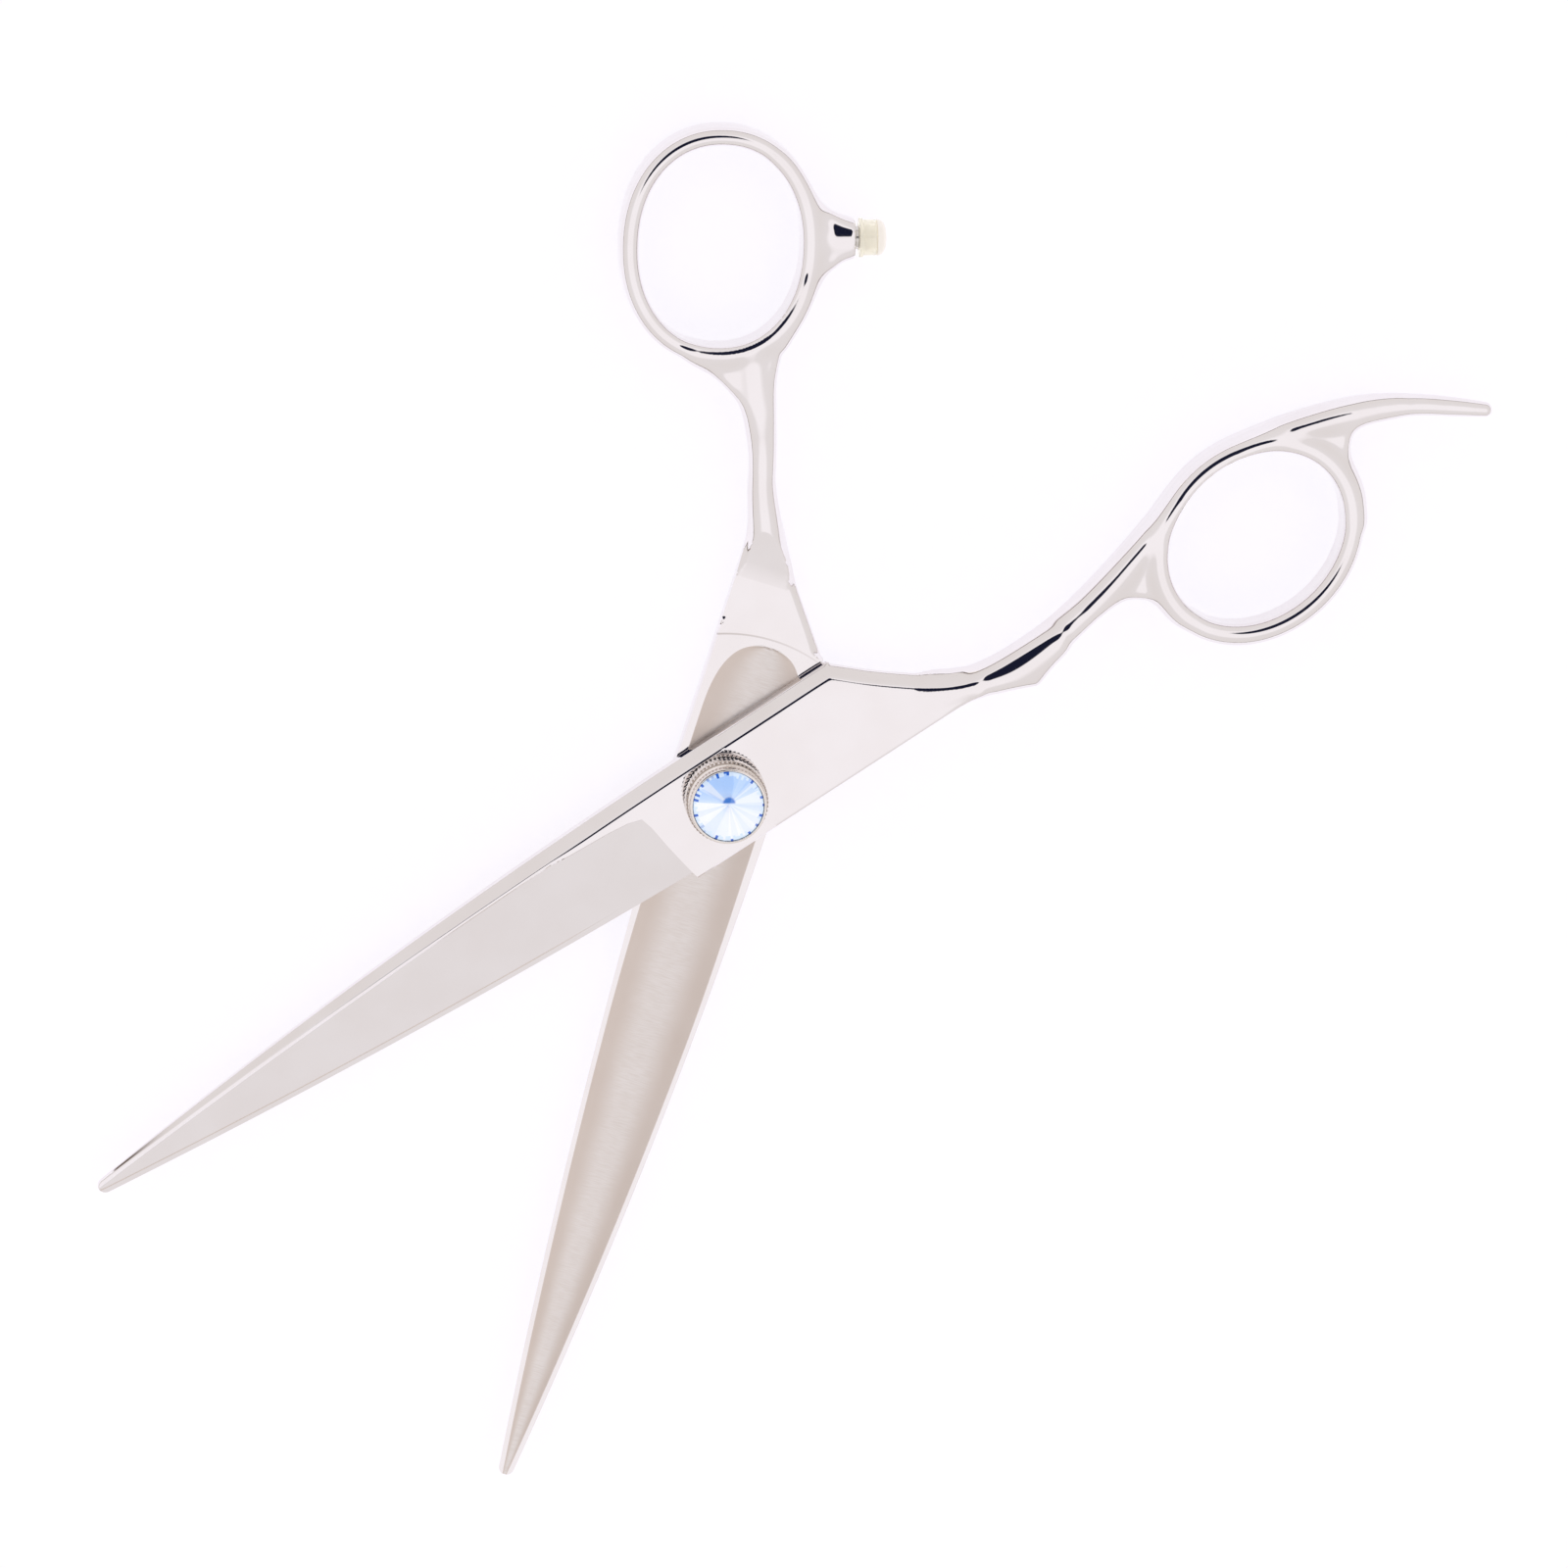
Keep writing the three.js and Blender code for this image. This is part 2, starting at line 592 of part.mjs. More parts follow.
function dialNut() {
  const knurlLow = DIAL_Z + DIAL_BASE_BAND;
  const knurlHigh = knurlLow + DIAL_KNURL_BAND;
  const outside = turned([
    [0, DIAL_Z],
    [DIAL_RADIUS, DIAL_Z],
    [DIAL_RADIUS, knurlLow],
    [DIAL_RADIUS - 2 * KNURL_DEPTH, knurlLow],
    [DIAL_RADIUS - 2 * KNURL_DEPTH, knurlHigh],
    [DIAL_RIM_RADIUS, knurlHigh + DIAL_RIM_BEVEL],
    [DIAL_RIM_RADIUS, DIAL_TOP - DIAL_RIM_BEVEL],
    [DIAL_RIM_RADIUS - DIAL_RIM_BEVEL, DIAL_TOP],
    [0, DIAL_TOP],
  ]);
  const cavity = disc(DIAL_CAVITY_RADIUS, DIAL_Z - 1, DIAL_Z + DIAL_CAVITY_HEIGHT);
  const thread = disc(THREAD_RADIUS + RUNNING_GAP, DIAL_Z - 1, DIAL_TOP + 1);
  const seat = CRYSTAL_RADIUS + CRYSTAL_GAP;
  const pocket = turned([
    [0, CRYSTAL_Z - CRYSTAL_PAVILION - WORKING_GAP],
    [seat, CRYSTAL_Z - WORKING_GAP],
    [seat, DIAL_TOP + 1],
    [0, DIAL_TOP + 1],
  ]);
  return outside.add(knurl(knurlLow, knurlHigh)).subtract(cavity).subtract(thread).subtract(pocket);
}

// A round stone with a faceted point on both sides, cut as two cones of flat facets.
function crystal() {
  return turned(
    [
      [0, CRYSTAL_Z - CRYSTAL_PAVILION],
      [CRYSTAL_RADIUS, CRYSTAL_Z],
      [CRYSTAL_RADIUS, CRYSTAL_Z + CRYSTAL_GIRDLE],
      [0, CRYSTAL_Z + CRYSTAL_GIRDLE + CRYSTAL_CROWN],
    ],
    2 * CRYSTAL_FACETS,
  );
}

// Carries a piece made along +z, with z = 0 on the boss face, to the boss of the thumb half.
function onBumperAxis(body) {
  return body
    .rotate([0, 90, 0])
    .rotate([0, 0, THREE.MathUtils.radToDeg(BOSS_TURN)])
    .translate([BOSS_FACE.x, BOSS_FACE.y, BUMPER_LIFT]);
}

function bumperStud() {
  const stem = disc(STUD_RADIUS, RUNNING_GAP - STUD_HOLE_DEPTH, SLEEVE_LENGTH, SMALL_SIDES);
  const collar = disc(STUD_COLLAR_RADIUS, RUNNING_GAP, STUD_COLLAR, SMALL_SIDES);
  const shoulder = disc(STUD_COLLAR_RADIUS, STUD_COLLAR + STUD_NECK, SLEEVE_LENGTH - STUD_NECK, SMALL_SIDES);
  return onBumperAxis(stem.add(collar).add(shoulder));
}

function bumperSleeve() {
  return onBumperAxis(
    turned([
      [SLEEVE_BORE, STUD_COLLAR],
      [SLEEVE_RADIUS, STUD_COLLAR],
      [SLEEVE_RADIUS, STUD_COLLAR + SLEEVE_LENGTH],
      [SLEEVE_BORE, STUD_COLLAR + SLEEVE_LENGTH],
    ], 32),
  );
}

function bumperTip() {
  const base = STUD_COLLAR + SLEEVE_LENGTH + RUNNING_GAP;
  const profile = [[0, base]];
  for (let i = 0; i <= BUMPER_TIP_STEPS; i++) {
    const [u, v] = superPoint((Math.PI / 2) * (i / BUMPER_TIP_STEPS), BAR_SQUARENESS);
    const radius = i === BUMPER_TIP_STEPS ? 0 : BUMPER_TIP_RADIUS * u;
    profile.push([radius, base + BUMPER_TIP_LENGTH * v]);
  }
  return onBumperAxis(turned(profile, 32));
}

// ---- Finishes ----

const finish = (color, roughness, metalness) =>
  new THREE.MeshStandardMaterial({ color, roughness, metalness });

const FINISH = {
  polishedSteel: finish(0xdedad8, 0.08, 1),
  satinSteel: finish(0xc9c2ba, 0.35, 1),
  bronze: finish(0xa8834f, 0.4, 1),
  springSteel: finish(0x9fa3a8, 0.25, 1),
  nickel: finish(0xd8d2cc, 0.18, 1),
  whitePlastic: finish(0xf2f0ea, 0.5, 0),
  crystal: finish(0x9cc4f2, 0.02, 0),
  clearSleeve: finish(0xe6e4c8, 0.2, 0),
  ivory: finish(0xf6f3e4, 0.45, 0),
};

function piece(name, body, material) {
  const mesh = new THREE.Mesh(geometryOf(body), material);
  mesh.name = name;
  return mesh;
}

// ---- Assembly ----

const shears = new THREE.Group();
shears.position.z = MEETING_PLANE;

const fingerSide = new THREE.Group();
fingerSide.rotation.z = -OPENING_ANGLE / 2;
fingerSide.add(
  piece("finger_half", fingerHalf(), FINISH.polishedSteel),
  piece("pivot_screw", pivotScrew(), FINISH.nickel),
  piece("rear_washer", rearWasher(), FINISH.bronze),
  piece("thrust_washer", thrustWasher(), FINISH.whitePlastic),
  piece("click_plate", clickPlate(), FINISH.springSteel),
  piece("spring_washer", springWasher(), FINISH.springSteel),
  piece("dial_nut", dialNut(), FINISH.nickel),
  piece("crystal", crystal(), FINISH.crystal),
);

// The thumb half is the same kind of forging turned over, so its inner face meets the other's.
const thumbSide = new THREE.Group();
thumbSide.rotation.set(Math.PI, 0, -OPENING_ANGLE / 2);
thumbSide.add(
  piece("thumb_half", thumbHalf(), FINISH.polishedSteel),
  piece("pivot_bushing", pivotBushing(), FINISH.bronze),
  piece("bumper_stud", bumperStud(), FINISH.nickel),
  piece("bumper_sleeve", bumperSleeve(), FINISH.clearSleeve),
  piece("bumper_tip", bumperTip(), FINISH.ivory),
);

shears.add(fingerSide, thumbSide);

export default shears;
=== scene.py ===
# %% [markdown]
# # Hair cutting shears with a crystal tension dial
# These are offset hairdressing shears, laid open on a white table. Each half is one steel forging:
# a blade with a ground facet, a flat plate round the pivot, and a shank that swells into a ring.
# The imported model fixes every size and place, so it is loaded first and nothing in it is moved.

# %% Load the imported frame
import math

import bmesh
import bpy
import numpy as np
from mathutils import Matrix, Vector


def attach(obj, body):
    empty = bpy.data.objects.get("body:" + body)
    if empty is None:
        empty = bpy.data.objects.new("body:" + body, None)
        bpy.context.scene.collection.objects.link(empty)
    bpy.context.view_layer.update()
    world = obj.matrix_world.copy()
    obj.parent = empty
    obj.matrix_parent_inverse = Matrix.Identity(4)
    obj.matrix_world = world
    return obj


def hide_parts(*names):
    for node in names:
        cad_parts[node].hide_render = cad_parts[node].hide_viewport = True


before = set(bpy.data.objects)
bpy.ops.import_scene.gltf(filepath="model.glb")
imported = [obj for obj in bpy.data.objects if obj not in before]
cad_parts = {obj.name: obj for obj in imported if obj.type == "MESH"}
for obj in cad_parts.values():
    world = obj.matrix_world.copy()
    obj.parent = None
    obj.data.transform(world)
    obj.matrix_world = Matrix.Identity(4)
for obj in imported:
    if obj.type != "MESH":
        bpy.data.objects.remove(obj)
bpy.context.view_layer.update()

print("nodes:", sorted(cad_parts))

# %% [markdown]
# ## Half frames
# A blade is easiest to draw lying along x: the pivot axis at zero, the tip at +x, the cutting edge
# on +y and the outer face on +z. Each half is drawn like that in millimetres. Its object then
# carries it to its place, and the thumb half is turned over on the way, as on the real shears.

# %% Half frames
MM = 0.001
OPENING = math.radians(39.1)
MEETING_PLANE = 3.34  # height of the plane where the two halves slide on each other

lift = Matrix.Translation((0, 0, MEETING_PLANE * MM))
FINGER_PLACE = lift @ Matrix.Rotation(-OPENING / 2, 4, "Z")
THUMB_PLACE = lift @ Matrix.Rotation(OPENING / 2, 4, "Z") @ Matrix.Rotation(math.pi, 4, "X")
print("opening", round(math.degrees(OPENING), 1), "degrees")

# %% [markdown]
# ## Putting a mesh into the scene
# Every piece goes through one helper. It takes points in millimetres, makes the mesh, sets its
# place, gives it a finish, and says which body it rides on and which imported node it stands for.

# %% Mesh helpers
def mesh_from(name, points, faces):
    mesh = bpy.data.meshes.new(name)
    mesh.from_pydata((np.asarray(points, float) * MM).tolist(), [], [list(f) for f in faces])
    mesh.validate()
    mesh.update()
    return mesh


def add_object(name, mesh, place=Matrix.Identity(4)):
    made = bpy.data.objects.new(name, mesh)
    bpy.context.scene.collection.objects.link(made)
    made.matrix_world = place
    return made


def smooth_by_angle(mesh, degrees):
    mesh.shade_smooth()
    mesh.set_sharp_from_angle(angle=math.radians(degrees))


def weld(mesh, drop_flat=False):
    """Join points that coincide, and turn every face outwards."""
    work = bmesh.new()
    work.from_mesh(mesh)
    bmesh.ops.remove_doubles(work, verts=work.verts, dist=1e-8)
    if drop_flat:
        bmesh.ops.dissolve_degenerate(work, edges=work.edges, dist=1e-9)
    bmesh.ops.recalc_face_normals(work, faces=work.faces)
    work.to_mesh(mesh)
    work.free()
    return mesh


def fit_out(made, body, nodes, finish):
    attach(made, body)
    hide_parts(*nodes)
    made.data.materials.clear()
    made.data.materials.append(finish)
    print(made.name, "rides on", body, "with", len(made.data.polygons), "faces")
    return made


def cut(mesh, tool, operation="DIFFERENCE"):
    """The mesh with another joined to it or cut out of it."""
    base, other = add_object("cut_base", mesh), add_object("cut_tool", tool)
    step = base.modifiers.new("cut", "BOOLEAN")
    step.operation, step.solver, step.object = operation, "MANIFOLD", other
    bpy.context.view_layer.update()
    done = bpy.data.meshes.new_from_object(base.evaluated_get(bpy.context.evaluated_depsgraph_get()))
    for leftover in (base, other):
        bpy.data.objects.remove(leftover)
    return done


# %% [markdown]
# ## Outline and heights of a blade and its plate
# The blade tapers to the tip: its edge bows out a little and its spine curves in. The plate is as
# thick as a coin and a half. The facet is ground from the top of the spine down to the edge, and
# stops at the heel, where a small wall is left. On the inner face a shallow hollow leaves only two
# narrow ride lines to touch the other blade, and ends in an arch behind the pivot.

# %% Blade outline and heights
HALF_WIDTH = 6.3
THICKNESS = 2.65
CUTTING_LENGTH = 84.7
TIP_WIDTH = 1.6
FACET_SLOPE = 0.245
BEVEL_RATIO = 0.51
EDGE_BOW = 0.59
EDGE_LAND = 0.12
RIDGE_LAND = 0.3
RIDE_RADIUS = 18.1
RELIEF, RELIEF_RUN = 0.12, 2.2
ARCH_START, ARCH_REACH, ARCH_POWER = -8.0, 9.3, 2.6
HOLLOW = 0.22
RUNNING_GAP = 0.012  # so that the two inner faces never share a plane
# upper line of the facet near the heel, as (x, y)
HEEL_TOP = [(7.75, 6.15), (8.1, 4.3), (8.6, 1.1), (8.9, -1.5), (9.3, -3.0), (10.9, -3.5), (13.4, -3.8),
            (18.6, -4.1), (23.5, -4.75), (30.0, -4.72)]


def clamp01(t):
    return np.clip(t, 0, 1)


def smoothstep(low, high, value):
    t = clamp01((value - low) / (high - low))
    return t * t * (3 - 2 * t)


def edge_y(x):
    u = np.maximum(x, 0) / CUTTING_LENGTH
    return HALF_WIDTH * (1 - u) * (1 + EDGE_BOW * u)


def spine_y(x):
    u = np.maximum(x, 0) / CUTTING_LENGTH
    return -HALF_WIDTH + (HALF_WIDTH - TIP_WIDTH) * u**2


def top_z(x):
    """Thickness: full round the pivot, then thinner so that the facet keeps one slope to the tip."""
    wide = edge_y(x) - spine_y(x)
    return np.minimum(THICKNESS, (EDGE_LAND + FACET_SLOPE * wide) / (1 + FACET_SLOPE * BEVEL_RATIO))


def bevel_run(x):
    return BEVEL_RATIO * top_z(x)


def wall_z(x):
    return 0.5 * top_z(x)


def facet_top_y(x):
    line = np.interp(x, [p[0] for p in HEEL_TOP], [p[1] for p in HEEL_TOP])
    ridge = spine_y(x) + bevel_run(x) + RIDGE_LAND
    return np.where(x > HEEL_TOP[-1][0], ridge, np.maximum(line, ridge))


def facet_z(x, y):
    ridge = spine_y(x) + bevel_run(x)
    share = (edge_y(x) - y) / (edge_y(x) - ridge)
    return EDGE_LAND + (top_z(x) - EDGE_LAND) * share


def inner_z(x, y):
    """Height of the inner face: the hollow between the ride lines, and the step beyond the arc."""
    edge, spine = edge_y(x), spine_y(x)
    ride = np.minimum(0.5 + 0.4 * smoothstep(30, 0, x), (edge - spine) / 5)
    low, high = spine + ride, edge - ride
    past = clamp01((ARCH_START - x) / ARCH_REACH)
    arch = (1 - past**ARCH_POWER) ** (1 / ARCH_POWER)
    middle = (low + high) / 2
    low, high = middle + (low - middle) * arch, middle + (high - middle) * arch
    t = clamp01((y - low) / np.maximum(high - low, 1e-6))
    bowl = 4 * t * (1 - t)
    depth = HOLLOW * clamp01((CUTTING_LENGTH - x) / 20)
    step = smoothstep(RIDE_RADIUS, RIDE_RADIUS + RELIEF_RUN, np.hypot(x, y)) * (x < 0)
    return RUNNING_GAP + depth * bowl * (arch > 0) + RELIEF * step


print("blade", CUTTING_LENGTH, "mm long,", 2 * HALF_WIDTH, "mm wide at the pivot")

# %% [markdown]
# ## Rounded corners
# Polished steel shows its shape only through reflections, and a corner without any radius looks
# like paper. Each cross-section is therefore a row of corners, each with its own small radius. Two
# extra points beside each corner keep the flats truly flat, so they reflect like a mirror.

# %% Rounded section
ARC_STEPS = 4


def rounded(corners):
    """Points round a closed section from (y, z, radius) corners; radius 0 keeps one sharp point."""
    points = []
    count = len(corners)
    for i, (y, z, radius) in enumerate(corners):
        here = np.array([y, z])
        before = np.array(corners[i - 1][:2]) - here
        after = np.array(corners[(i + 1) % count][:2]) - here
        if radius == 0:
            points.append(here)
            continue
        reach_in, reach_out = np.linalg.norm(before), np.linalg.norm(after)
        to_in, to_out = before / max(reach_in, 1e-9), after / max(reach_out, 1e-9)
        angle = math.acos(float(np.clip(to_in @ to_out, -1, 1)))
        reach = min(radius / max(math.tan(angle / 2), 1e-3), 0.38 * reach_in, 0.38 * reach_out)
        start, end = here + to_in * reach, here + to_out * reach
        points.append(start + to_in * 0.25 * reach)
        for k in range(ARC_STEPS + 1):
            t = k / ARC_STEPS
            points.append((1 - t) ** 2 * start + 2 * t * (1 - t) * here + t**2 * end)
        points.append(end + to_out * 0.25 * reach)
    return np.array(points)


# %% Blade and front plate
SEAM_X = -3.0
TIP_ROUND = 0.75


def blade_section(x, narrow=1.0):
    edge, spine = float(edge_y(x)), float(spine_y(x))
    top = float(top_z(x))
    ridge = spine + float(bevel_run(x))
    on_plate = x < HEEL_TOP[0][0]
    facet_top = HALF_WIDTH - 0.14 if on_plate else min(float(facet_top_y(x)), edge - 0.1)
    foot_y = min(facet_top + 0.12, edge - 0.02)
    foot_z = THICKNESS - 0.16 if on_plate else min(float(facet_z(x, foot_y)), top)
    if on_plate:
        foot_y = HALF_WIDTH
    corners = [(edge, RUNNING_GAP, 0)]
    inner = [0.04, 0.08, 0.12, 0.16, 0.22, 0.3, 0.4, 0.5, 0.6, 0.7, 0.78, 0.84, 0.88, 0.92, 0.96]
    for t in inner:
        y = edge + (spine - edge) * t
        corners.append((y, float(inner_z(x, y)), 0))
    corners += [
        (spine, RUNNING_GAP, 0.06),
        (spine + 0.06, float(wall_z(x)), 0.12),
        (ridge, top, 0.75),
        (facet_top, top, 0.03),
        (foot_y, foot_z, 0.03),
        (edge, 0.5 * THICKNESS if on_plate else EDGE_LAND, 0),
    ]
    section = rounded(corners)
    middle = (edge + spine) / 2
    section[:, 0] = middle + (section[:, 0] - middle) * narrow
    return np.column_stack([np.full(len(section), x), section])


def loft(sections):
    """A closed skin over sections with equal numbers of points, capped at both ends."""
    count = len(sections[0])
    points = [p for s in sections for p in s]
    faces = []
    for s in range(len(sections) - 1):
        for i in range(count):
            j = (i + 1) % count
            faces.append((s * count + i, s * count + j, (s + 1) * count + j, (s + 1) * count + i))
    for s, order in ((0, -1), (len(sections) - 1, 1)):
        centre = len(points)
        points.append(np.mean(sections[s], axis=0))
        for i in range(count):
            a, b = s * count + i, s * count + (i + 1) % count
            faces.append((centre, a, b) if order > 0 else (centre, b, a))
    return np.array(points), faces


def blade_mesh(name):
    behind = list(np.arange(SEAM_X, 7.4, 0.6)) + [7.5, 7.7]
    heel = [7.751, 7.8, 7.9, 8.0, 8.1, 8.2, 8.3, 8.4, 8.5, 8.6, 8.7, 8.8, 8.9, 9.0, 9.1, 9.2, 9.3, 9.5, 9.8]
    front = list(np.arange(10.2, CUTTING_LENGTH - 2.0, 0.7)) + [CUTTING_LENGTH - TIP_ROUND]
    sections = [blade_section(x) for x in behind + heel + front]
    for t in (0.35, 0.6, 0.8, 0.93, 1.0):
        x = CUTTING_LENGTH - TIP_ROUND * (1 - t)
        sections.append(blade_section(x, math.sqrt(1 - (0.93 * t) ** 2)))
    points, faces = loft(sections)
    return weld(mesh_from(name, points, faces))


finger_blade, thumb_blade = blade_mesh("finger_blade"), blade_mesh("thumb_blade")
print("each blade has", len(finger_blade.polygons), "faces")

# %% [markdown]
# ## The handles as one flowing surface
# A forged handle has no seams: shank, rings, webs and spur run into each other with soft fillets.
# That is hard to build from patches, so each handle is a field instead, a number in space that is
# below zero inside the steel. Each bar gives one field, and a soft minimum melts them together.

# %% Fields of bars
def soft_min(a, b, reach):
    h = np.maximum(reach - np.abs(a - b), 0) / reach
    return np.minimum(a, b) - h * h * reach / 4


def soft_max(a, b, reach):
    return -soft_min(-a, -b, reach)


def spread(stations, per_span=8, closed=False):
    """A smooth path through stations of (x, y, half width, low z, high z)."""
    s = np.asarray(stations, float)
    count = len(s)
    spans = count if closed else count - 1
    rows = []
    for i in range(spans):
        if closed:
            p = [s[(i + k - 1) % count] for k in range(4)]
        else:
            p = [s[max(i - 1, 0)], s[i], s[i + 1], s[min(i + 2, count - 1)]]
        for k in range(per_span):
            t = k / per_span
            bend = 2 * p[0] - 5 * p[1] + 4 * p[2] - p[3]
            twist = 3 * p[1] - p[0] - 3 * p[2] + p[3]
            rows.append(0.5 * (2 * p[1] + (p[2] - p[0]) * t + bend * t * t + twist * t**3))
    rows.append(s[0] if closed else s[-1])
    return np.array(rows)


def nearest(path, x, y, chunk=20000):
    """Level distance to the path, and its half width, low z and high z at the nearest point."""
    start, run = path[:-1, :2], path[1:, :2] - path[:-1, :2]
    length2 = np.maximum((run**2).sum(1), 1e-12)
    out = np.empty((len(x), 4))
    for first in range(0, len(x), chunk):
        last = min(first + chunk, len(x))
        dx = x[first:last, None] - start[None, :, 0]
        dy = y[first:last, None] - start[None, :, 1]
        t = clamp01((dx * run[:, 0] + dy * run[:, 1]) / length2)
        gap2 = (dx - t * run[:, 0]) ** 2 + (dy - t * run[:, 1]) ** 2
        best = gap2.argmin(1)
        rows = np.arange(last - first)
        share = t[rows, best][:, None]
        out[first:last, 0] = np.sqrt(gap2[rows, best])
        out[first:last, 1:] = path[best, 2:] * (1 - share) + path[best + 1, 2:] * share
    return out


def bar_field(flat, z):
    """Distance to a bar whose top and bottom are as round as its narrower side allows."""
    gap, half, low, high = flat.T
    tall = np.maximum((high - low) / 2, 0.05)
    radius = np.minimum(half, tall)
    up = np.maximum(np.abs(z - (low + high) / 2) - (tall - radius), 0)
    flat_out = np.where(half > tall, gap * tall / half, gap)
    return np.hypot(flat_out, up) - radius


# %% [markdown]
# ## Sizes of the handles
# A shank is a row of stations along its middle, each with a half width, a low z and a high z. A web
# is an outline with a low z, a high z, and the two x values between which it thins out.

# %% Sizes of the handles
RING_HEIGHT, RING_LIFT = 5.6, 0.25
FINGER_RING = dict(x=-66.4, y=8.6, long=10.9, short=8.95, turn=11.2, square=2.0, wall=2.35, extra=0.35)
THUMB_RING = dict(x=-59.6, y=19.8, long=11.3, short=9.15, turn=-16.2, square=2.15, wall=2.2, extra=0.0)
FINGER_SHANK = [
    (-24.5, 3.0, 1.6, -1.0, 2.3), (-26.4, 3.3, 2.2, -1.3, 2.5), (-30.6, 4.9, 1.75, -1.5, 2.6),
    (-35.2, 6.1, 2.15, -1.6, 2.65), (-40.3, 5.9, 2.1, -1.7, 2.6), (-45.0, 4.95, 1.7, -1.9, 2.5),
    (-49.8, 3.9, 1.65, -2.1, 2.6), (-54.2, 2.5, 1.35, -2.25, 2.75), (-59.8, 0.65, 1.1, -2.4, 2.9),
    (-66.2, -0.7, 1.05, -2.4, 2.9), (-72.6, -0.6, 1.1, -2.35, 2.85), (-78.6, 0.9, 1.3, -2.1, 2.6),
    (-84.4, 3.0, 1.4, -1.6, 2.2), (-89.6, 6.0, 1.2, -1.15, 1.75), (-93.6, 9.0, 1.05, -0.85, 1.45),
    (-96.1, 11.0, 0.85, -0.6, 1.2),
]
SPUR_WEB = [(-30.5, 6.2), (-31.3, 6.5), (-33.8, 7.6), (-36.0, 9.05), (-36.6, 9.3), (-37.3, 9.1),
            (-38.4, 8.55), (-39.6, 8.05), (-41.5, 7.2), (-41.0, 5.0), (-33.0, 4.5), (-30.0, 5.0)]
NEAR_WEB = [(-40.5, 6.2), (-43.8, 6.55), (-46.6, 6.3), (-49.2, 6.45), (-51.3, 7.35), (-52.9, 9.1),
            (-53.9, 12.0), (-56.6, 12.5), (-58.5, 6.0), (-61.5, 0.6), (-55.0, 2.0), (-48.0, 4.0)]
REST_WEB = [(-76.8, 14.0), (-79.0, 12.1), (-79.9, 9.9), (-80.35, 7.5), (-81.1, 5.9), (-82.3, 4.85),
            (-84.0, 4.6), (-87.5, 5.6), (-88.0, 4.6), (-81.0, 1.4), (-74.0, -0.6), (-70.0, 0.0),
            (-73.0, 5.0)]
FINGER_WEBS = [(SPUR_WEB, -1.3, 2.3, (-20.0, -21.0)), (NEAR_WEB, -1.5, 2.0, (-40.5, -46.0)),
               (REST_WEB, -1.5, 2.0, (-89.0, -83.0))]
THUMB_SHANK = [
    (-23.8, 2.8, 1.8, -1.0, 2.3), (-25.6, 3.1, 2.6, -1.5, 2.5), (-28.0, 3.95, 2.3, -1.6, 2.55),
    (-30.2, 4.75, 2.0, -1.7, 2.6), (-34.3, 6.5, 1.65, -1.75, 2.6), (-38.6, 7.95, 1.35, -1.7, 2.45),
    (-41.8, 9.3, 1.25, -2.0, 2.5), (-45.0, 10.9, 1.2, -2.1, 2.6), (-48.5, 12.4, 1.2, -2.1, 2.6),
]
THUMB_WEB = [(-36.4, 7.4), (-38.1, 8.7), (-40.2, 10.05), (-42.0, 11.2), (-43.3, 12.5), (-44.9, 15.3),
             (-46.3, 19.0), (-48.6, 19.0), (-50.5, 14.0), (-54.0, 11.4), (-58.5, 9.6), (-55.6, 8.6),
             (-51.0, 9.25), (-47.5, 9.05), (-43.2, 7.9), (-38.9, 6.75), (-36.6, 6.6)]
BOSS_WEB = [(-51.0, 9.5), (-55.6, 8.6), (-59.3, 7.5), (-61.6, 6.2), (-63.0, 4.7), (-64.6, 3.4),
            (-66.9, 4.2), (-66.75, 6.4), (-67.2, 9.6), (-68.7, 12.7), (-71.0, 16.2), (-69.0, 17.0),
            (-65.0, 13.5), (-58.0, 11.3), (-53.0, 11.0)]
THUMB_WEBS = [(THUMB_WEB, -1.9, 2.3, (-36.6, -44.0)), (BOSS_WEB, -1.6, 2.1, (-40.0, -41.0))]
BOSS_FACE = (-64.8, 5.55)
BOSS_TURN = math.radians(-108)
BOSS_RADIUS, BUMPER_LIFT = 1.8, 0.25
boss_way = np.array([math.cos(BOSS_TURN), math.sin(BOSS_TURN)])


def ring_stations(ring, count=72):
    turn = math.radians(ring["turn"])
    rotate = np.array([[math.cos(turn), -math.sin(turn)], [math.sin(turn), math.cos(turn)]])
    rows = []
    for k in range(count):
        angle = 2 * math.pi * k / count
        c, s = math.cos(angle), math.sin(angle)
        power = 2 / ring["square"]
        u = math.copysign(abs(c) ** power, c)
        v = math.copysign(abs(s) ** power, s)
        bend = ring["square"] - 1
        out_x = math.copysign(abs(u) ** bend, u) * ring["short"]
        out_y = math.copysign(abs(v) ** bend, v) * ring["long"]
        out = np.array([out_x, out_y])
        out /= np.linalg.norm(out)
        wall = ring["wall"] + ring["extra"] * (rotate @ out)[1]
        level = np.array([u * ring["long"], v * ring["short"]]) + out * wall / 2
        x, y = rotate @ level + (ring["x"], ring["y"])
        rows.append((x, y, wall / 2, RING_LIFT - RING_HEIGHT / 2, RING_LIFT + RING_HEIGHT / 2))
    return rows


def boss_inward(x, y):
    """How far a point lies in from the flat face that carries the bumper."""
    return -((x - BOSS_FACE[0]) * boss_way[0] + (y - BOSS_FACE[1]) * boss_way[1])


def boss_field(x, y, z):
    across = (y - BOSS_FACE[1]) * boss_way[0] - (x - BOSS_FACE[0]) * boss_way[1]
    round_part = np.hypot(across, z - BUMPER_LIFT) - BOSS_RADIUS
    return soft_max(round_part, boss_inward(x, y) - 3.5, 0.8)


